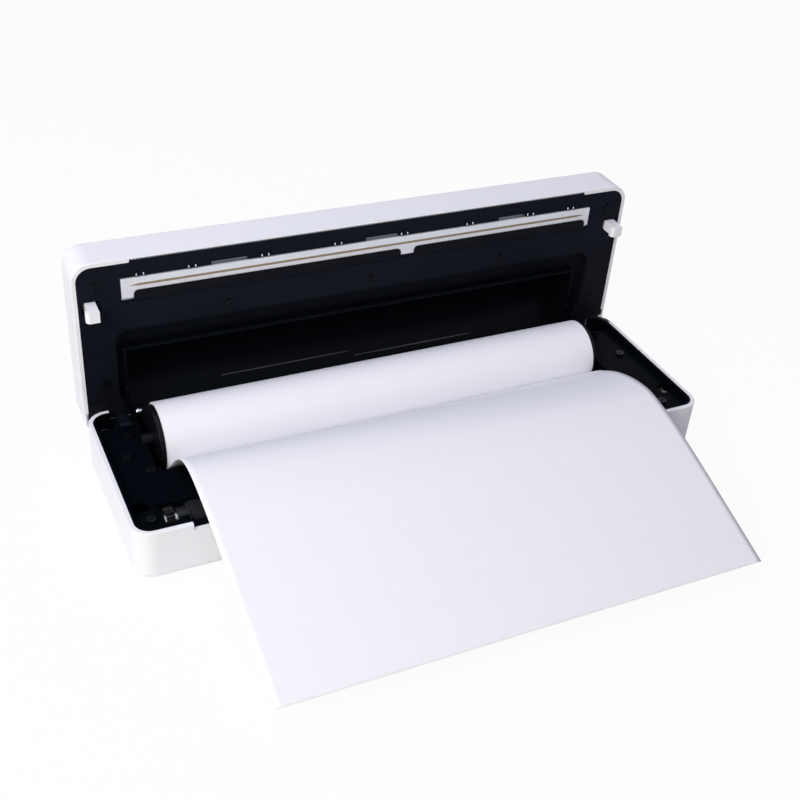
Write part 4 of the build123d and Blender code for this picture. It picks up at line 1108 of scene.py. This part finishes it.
dress(drawn_aluminium, "printhead_heatsink")

# Flat cable: white polyester over tinned conductors, one millimetre apart.
flat_cable, tree, place = new_material("flat_flexible_cable")
conductors = add_node(
    tree,
    "ShaderNodeTexWave",
    {"bands_direction": "X", "Scale": wave_length / 0.001},
    {"Vector": (place, "Object")},
)
tone = add_node(
    tree,
    "ShaderNodeMix",
    {"data_type": "RGBA", 6: linear("#DDDCD6"), 7: linear("#B4B5B4")},
    {0: (conductors, 1)},
)
shader = add_node(
    tree, "ShaderNodeBsdfPrincipled", {"Roughness": 0.35, "IOR": 1.57}, {"Base Color": (tone, 2)}
)
add_node(tree, "ShaderNodeOutputMaterial", links={"Surface": (shader, 0)})
dress(flat_cable, "head_cable")

# Spring wire: patented steel, drawn bright, with a slight blue of tempering.
spring_wire, tree, place = new_material("tempered_spring_wire")
mottle = add_node(tree, "ShaderNodeTexNoise", {"Scale": 1 / 0.0008}, {"Vector": (place, "Object")})
tone = add_node(
    tree,
    "ShaderNodeMix",
    {"data_type": "RGBA", 6: linear("#8F949E"), 7: linear("#B4B7BD")},
    {0: (mottle, 0)},
)
shader = add_node(
    tree, "ShaderNodeBsdfPrincipled", {"Metallic": 1.0, "Roughness": 0.3}, {"Base Color": (tone, 2)}
)
add_node(tree, "ShaderNodeOutputMaterial", links={"Surface": (shader, 0)})


def coil_points(start, axis, first, length, coil_radius, wire_radius, turns):
    """Points of a compression spring: a circle carried along a helix, ring by ring.

    The helix climbs from start along the axis, and first is the direction of its first point.
    Its rise follows the turn angle, but slows over the first and last 0.8 turns so that the ends
    lie closed. Each ring stands on the helix in the plane of its radius and the axis.
    """
    axis, first = np.array(axis, float), np.array(first, float)
    second = np.cross(axis, first)
    s = np.linspace(0, 1, int(24 * turns))
    closed = 0.8
    rise = np.clip((s * turns - closed) / (turns - 2 * closed), 0, 1)
    climb = wire_radius + (length - 2 * wire_radius) * rise
    climb = climb + wire_radius * 0.9 * (np.clip(s * turns, 0, closed) - closed)
    climb = climb + wire_radius * 0.9 * np.clip(s * turns - turns + closed, 0, closed)
    climb = np.clip(climb, wire_radius, length - wire_radius)
    angle = (2 * np.pi * turns * s)[:, None]
    outwards = np.cos(angle) * first + np.sin(angle) * second
    centres = np.array(start) + climb[:, None] * axis + coil_radius * outwards
    around = np.linspace(0, 2 * np.pi, wire_sides + 1)[:-1][None, :, None]
    ring = np.cos(around) * outwards[:, None] + np.sin(around) * axis
    return centres[:, None] + wire_radius * ring


wire_sides = 8
spring_low, spring_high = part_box("printhead_springs")
coils = [
    coil_points(
        start=(x, spring_low.y, lid_top - 0.0124),
        axis=(0, 1, 0),
        first=(0, 0, 1),
        length=0.0136,
        coil_radius=0.002,
        wire_radius=0.0003,
        turns=7,
    )
    for x in (-0.09, -0.03, 0.03, 0.09)
]
spring_faces = tube_faces(coils[0].shape[0], wire_sides, len(coils), inwards=True)
head_springs = new_piece("head_spring_coils", np.concatenate(coils), spring_faces, spring_wire)
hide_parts("printhead_springs")
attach(head_springs, "lid")
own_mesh(head_springs)

# ---- Guide studs ----
# Sixteen small polished steel studs, pressed in pairs over the ribs in front of the print head,
# which the page slides along on its way to the heaters.

# Polished stainless steel: a mirror with the haze of the tumbling drum.
polished_steel, tree, place = new_material("tumbled_stainless_steel")
haze = add_node(tree, "ShaderNodeTexNoise", {"Scale": 1 / 0.0006}, {"Vector": (place, "Object")})
tone = add_node(
    tree,
    "ShaderNodeMix",
    {"data_type": "RGBA", 6: linear("#B4B8C0"), 7: linear("#C9CCD3")},
    {0: (haze, 0)},
)
shader = add_node(
    tree,
    "ShaderNodeBsdfPrincipled",
    {"Metallic": 1.0, "Roughness": 0.18},
    {"Base Color": (tone, 2)},
)
add_node(tree, "ShaderNodeOutputMaterial", links={"Surface": (shader, 0)})

# a stud is a quarter turn of an ellipse swept all the way round: 0.8 mm wide, 1.7 mm along the
# paper's way and 0.55 mm proud of its rib, with a flat back
stud_sides, stud_rings, stud_foot = 12, 5, 0.0743
pair_x = np.array([-0.105, -0.083, -0.051, -0.0175, 0.0145, 0.0475, 0.0795, 0.1015])
stud_x = (pair_x[:, None] + np.array([-1, 1]) * 0.0015).reshape(-1)
turn = np.linspace(0, 2 * np.pi, stud_sides + 1)[:-1]
rise = np.linspace(0, 0.92, stud_rings)[:, None] * np.pi / 2
stud = np.stack(
    [
        0.0004 * np.cos(rise) * np.cos(turn),
        stud_foot - 0.00055 * np.sin(rise) + 0 * turn,
        lid_top - 0.0077 - 0.00085 * np.cos(rise) * np.sin(turn),
    ],
    -1,
)
studs = stud.reshape(1, -1, 3) + np.stack([stud_x, 0 * stud_x, 0 * stud_x], -1)[:, None]
stud_faces = tube_faces(stud_rings, stud_sides, len(stud_x))
guide_studs = new_piece("guide_studs", studs, stud_faces, polished_steel)
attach(guide_studs, "lid")

# ---- Trough beads ----
# Two thin half-round beads moulded along the back of the lid's trough. They keep the roll's outer
# turn off the wall, and their lighter grey colour is a painted highlight.

# Glossy black ABS coloured a lighter grey: a painted highlight along each bead's thin crest.
bead_highlight_abs, tree, place = new_material("black_abs_painted_highlight")
bead_mottle = add_node(
    tree, "ShaderNodeTexNoise", {"Scale": 1 / 0.015, "Detail": 3.0}, {"Vector": (place, "Object")}
)
# painted highlight: a grey far lighter than the liners' black
tone = add_node(
    tree,
    "ShaderNodeMix",
    {"data_type": "RGBA", 6: linear("#22252A"), 7: linear("#4A4E55")},
    {0: (bead_mottle, 0)},
)
shader = add_node(
    tree, "ShaderNodeBsdfPrincipled", {"Roughness": 0.2, "IOR": 1.53}, {"Base Color": (tone, 2)}
)
add_node(tree, "ShaderNodeOutputMaterial", links={"Surface": (shader, 0)})
# each bead is an ellipse carried along the trough's wall, at its own angle about the trough's
# axis, and thins at its ends; depth runs from the lid's free edge and height from its face
lid_face = 0.0748
trough_depth, trough_height, trough_radius = 0.0619, -0.0029, 0.0183
trough_rings, trough_sides = 24, 10
bead_points = []
for low_x, high_x, degrees in ((-0.068, -0.004, 51), (-0.002, 0.062, 43)):
    angle = math.radians(degrees)
    x = np.linspace(low_x, high_x, trough_rings)[:, None]
    swell = np.sin(np.pi * np.clip((x - low_x) / (high_x - low_x), 0.02, 0.98)) ** 0.3
    around = np.linspace(0, 2 * np.pi, trough_sides + 1)[:-1]
    reach = trough_radius - 0.00035 * swell * np.cos(around)
    beside = 0.0004 * swell * np.sin(around)
    depth = trough_depth + reach * math.cos(angle) - beside * math.sin(angle)
    height = trough_height + reach * math.sin(angle) + beside * math.cos(angle)
    bead_points.append(np.stack([x + 0 * around, lid_face + height, lid_top - depth], -1))
bead_faces = tube_faces(trough_rings, trough_sides, len(bead_points), inwards=True)
trough_beads = new_piece("trough_beads", np.concatenate(bead_points), bead_faces, bead_highlight_abs)
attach(trough_beads, "lid")

# ---- Trough rivet ----
# One domed steel rivet at the left end of the trough fixes the liner to the lid's shell behind
# the hinge arm. It is 4 mm across and turned in the same steel as the guide studs.

# a dome: rings of points whose radius and height follow a quarter ellipse, on a short cylinder
rivet_radius, rivet_height = 0.0020, 0.0008
rivet_rings, rivet_sides = 7, 24
rise = np.concatenate([[-0.5], np.linspace(0, 0.94, rivet_rings - 1)])[:, None] * np.pi / 2
turn = np.linspace(0, 2 * np.pi, rivet_sides + 1)[:-1]
rivet_out = Vector((0.0, -0.42, 0.91)).normalized()
rivet_along = np.array([1.0, 0.0, 0.0])
rivet_across = np.cross(rivet_out, rivet_along)
rivet_reach = rivet_radius * np.cos(np.clip(rise, 0, None))
rivet = (
    np.array([-0.1087, 0.0795, 0.0186])
    + (rivet_reach * np.cos(turn))[..., None] * rivet_along
    + (rivet_reach * np.sin(turn))[..., None] * rivet_across
    + (rivet_height * np.sin(rise) + 0 * turn)[..., None] * np.array(rivet_out)
)
rivet_faces = tube_faces(rivet_rings, rivet_sides)
trough_rivet = new_piece("trough_rivet", rivet, rivet_faces, polished_steel)
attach(trough_rivet, "lid")

# ---- Tear bar ----
# A strip of saw-toothed black ABS along the lid's front edge, which the page is torn against.
dress(black_abs, "tear_bar")

# ---- Latch ----
# Two white hooks on a black bar catch the base's skirt. A spring holds the bar to the left, and
# the slider on the lid's top draws it to the right.

# Moulded white acetal: whiter and glossier than the case.
white_acetal, tree, place = new_material("moulded_white_acetal")
cloud = add_node(tree, "ShaderNodeTexNoise", {"Scale": 1 / 0.002}, {"Vector": (place, "Object")})
tone = add_node(
    tree,
    "ShaderNodeMix",
    {"data_type": "RGBA", 6: linear("#F1F0F8"), 7: linear("#F6F5FB")},
    {0: (cloud, 0)},
)
shader = add_node(
    tree,
    "ShaderNodeBsdfPrincipled",
    {"Roughness": 0.32, "IOR": 1.48, "Subsurface Weight": 0.1, "Subsurface Scale": 0.001},
    {"Base Color": (tone, 2)},
)
add_node(tree, "ShaderNodeOutputMaterial", links={"Surface": (shader, 0)})
dress(white_acetal, "latch_hook_left", "latch_hook_right")

latch_low, latch_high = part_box("latch_spring")
latch_middle = (latch_low + latch_high) / 2
latch_coil = coil_points(
    start=(latch_low.x, latch_middle.y, latch_middle.z),
    axis=(1, 0, 0),
    first=(0, 1, 0),
    length=0.014,
    coil_radius=0.0018,
    wire_radius=0.00035,
    turns=7,
)
latch_faces = tube_faces(latch_coil.shape[0], wire_sides, inwards=True)
latch_spring = new_piece("latch_spring_coil", latch_coil, latch_faces, spring_wire)
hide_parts("latch_spring")
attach(latch_spring, "lid")
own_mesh(latch_spring)
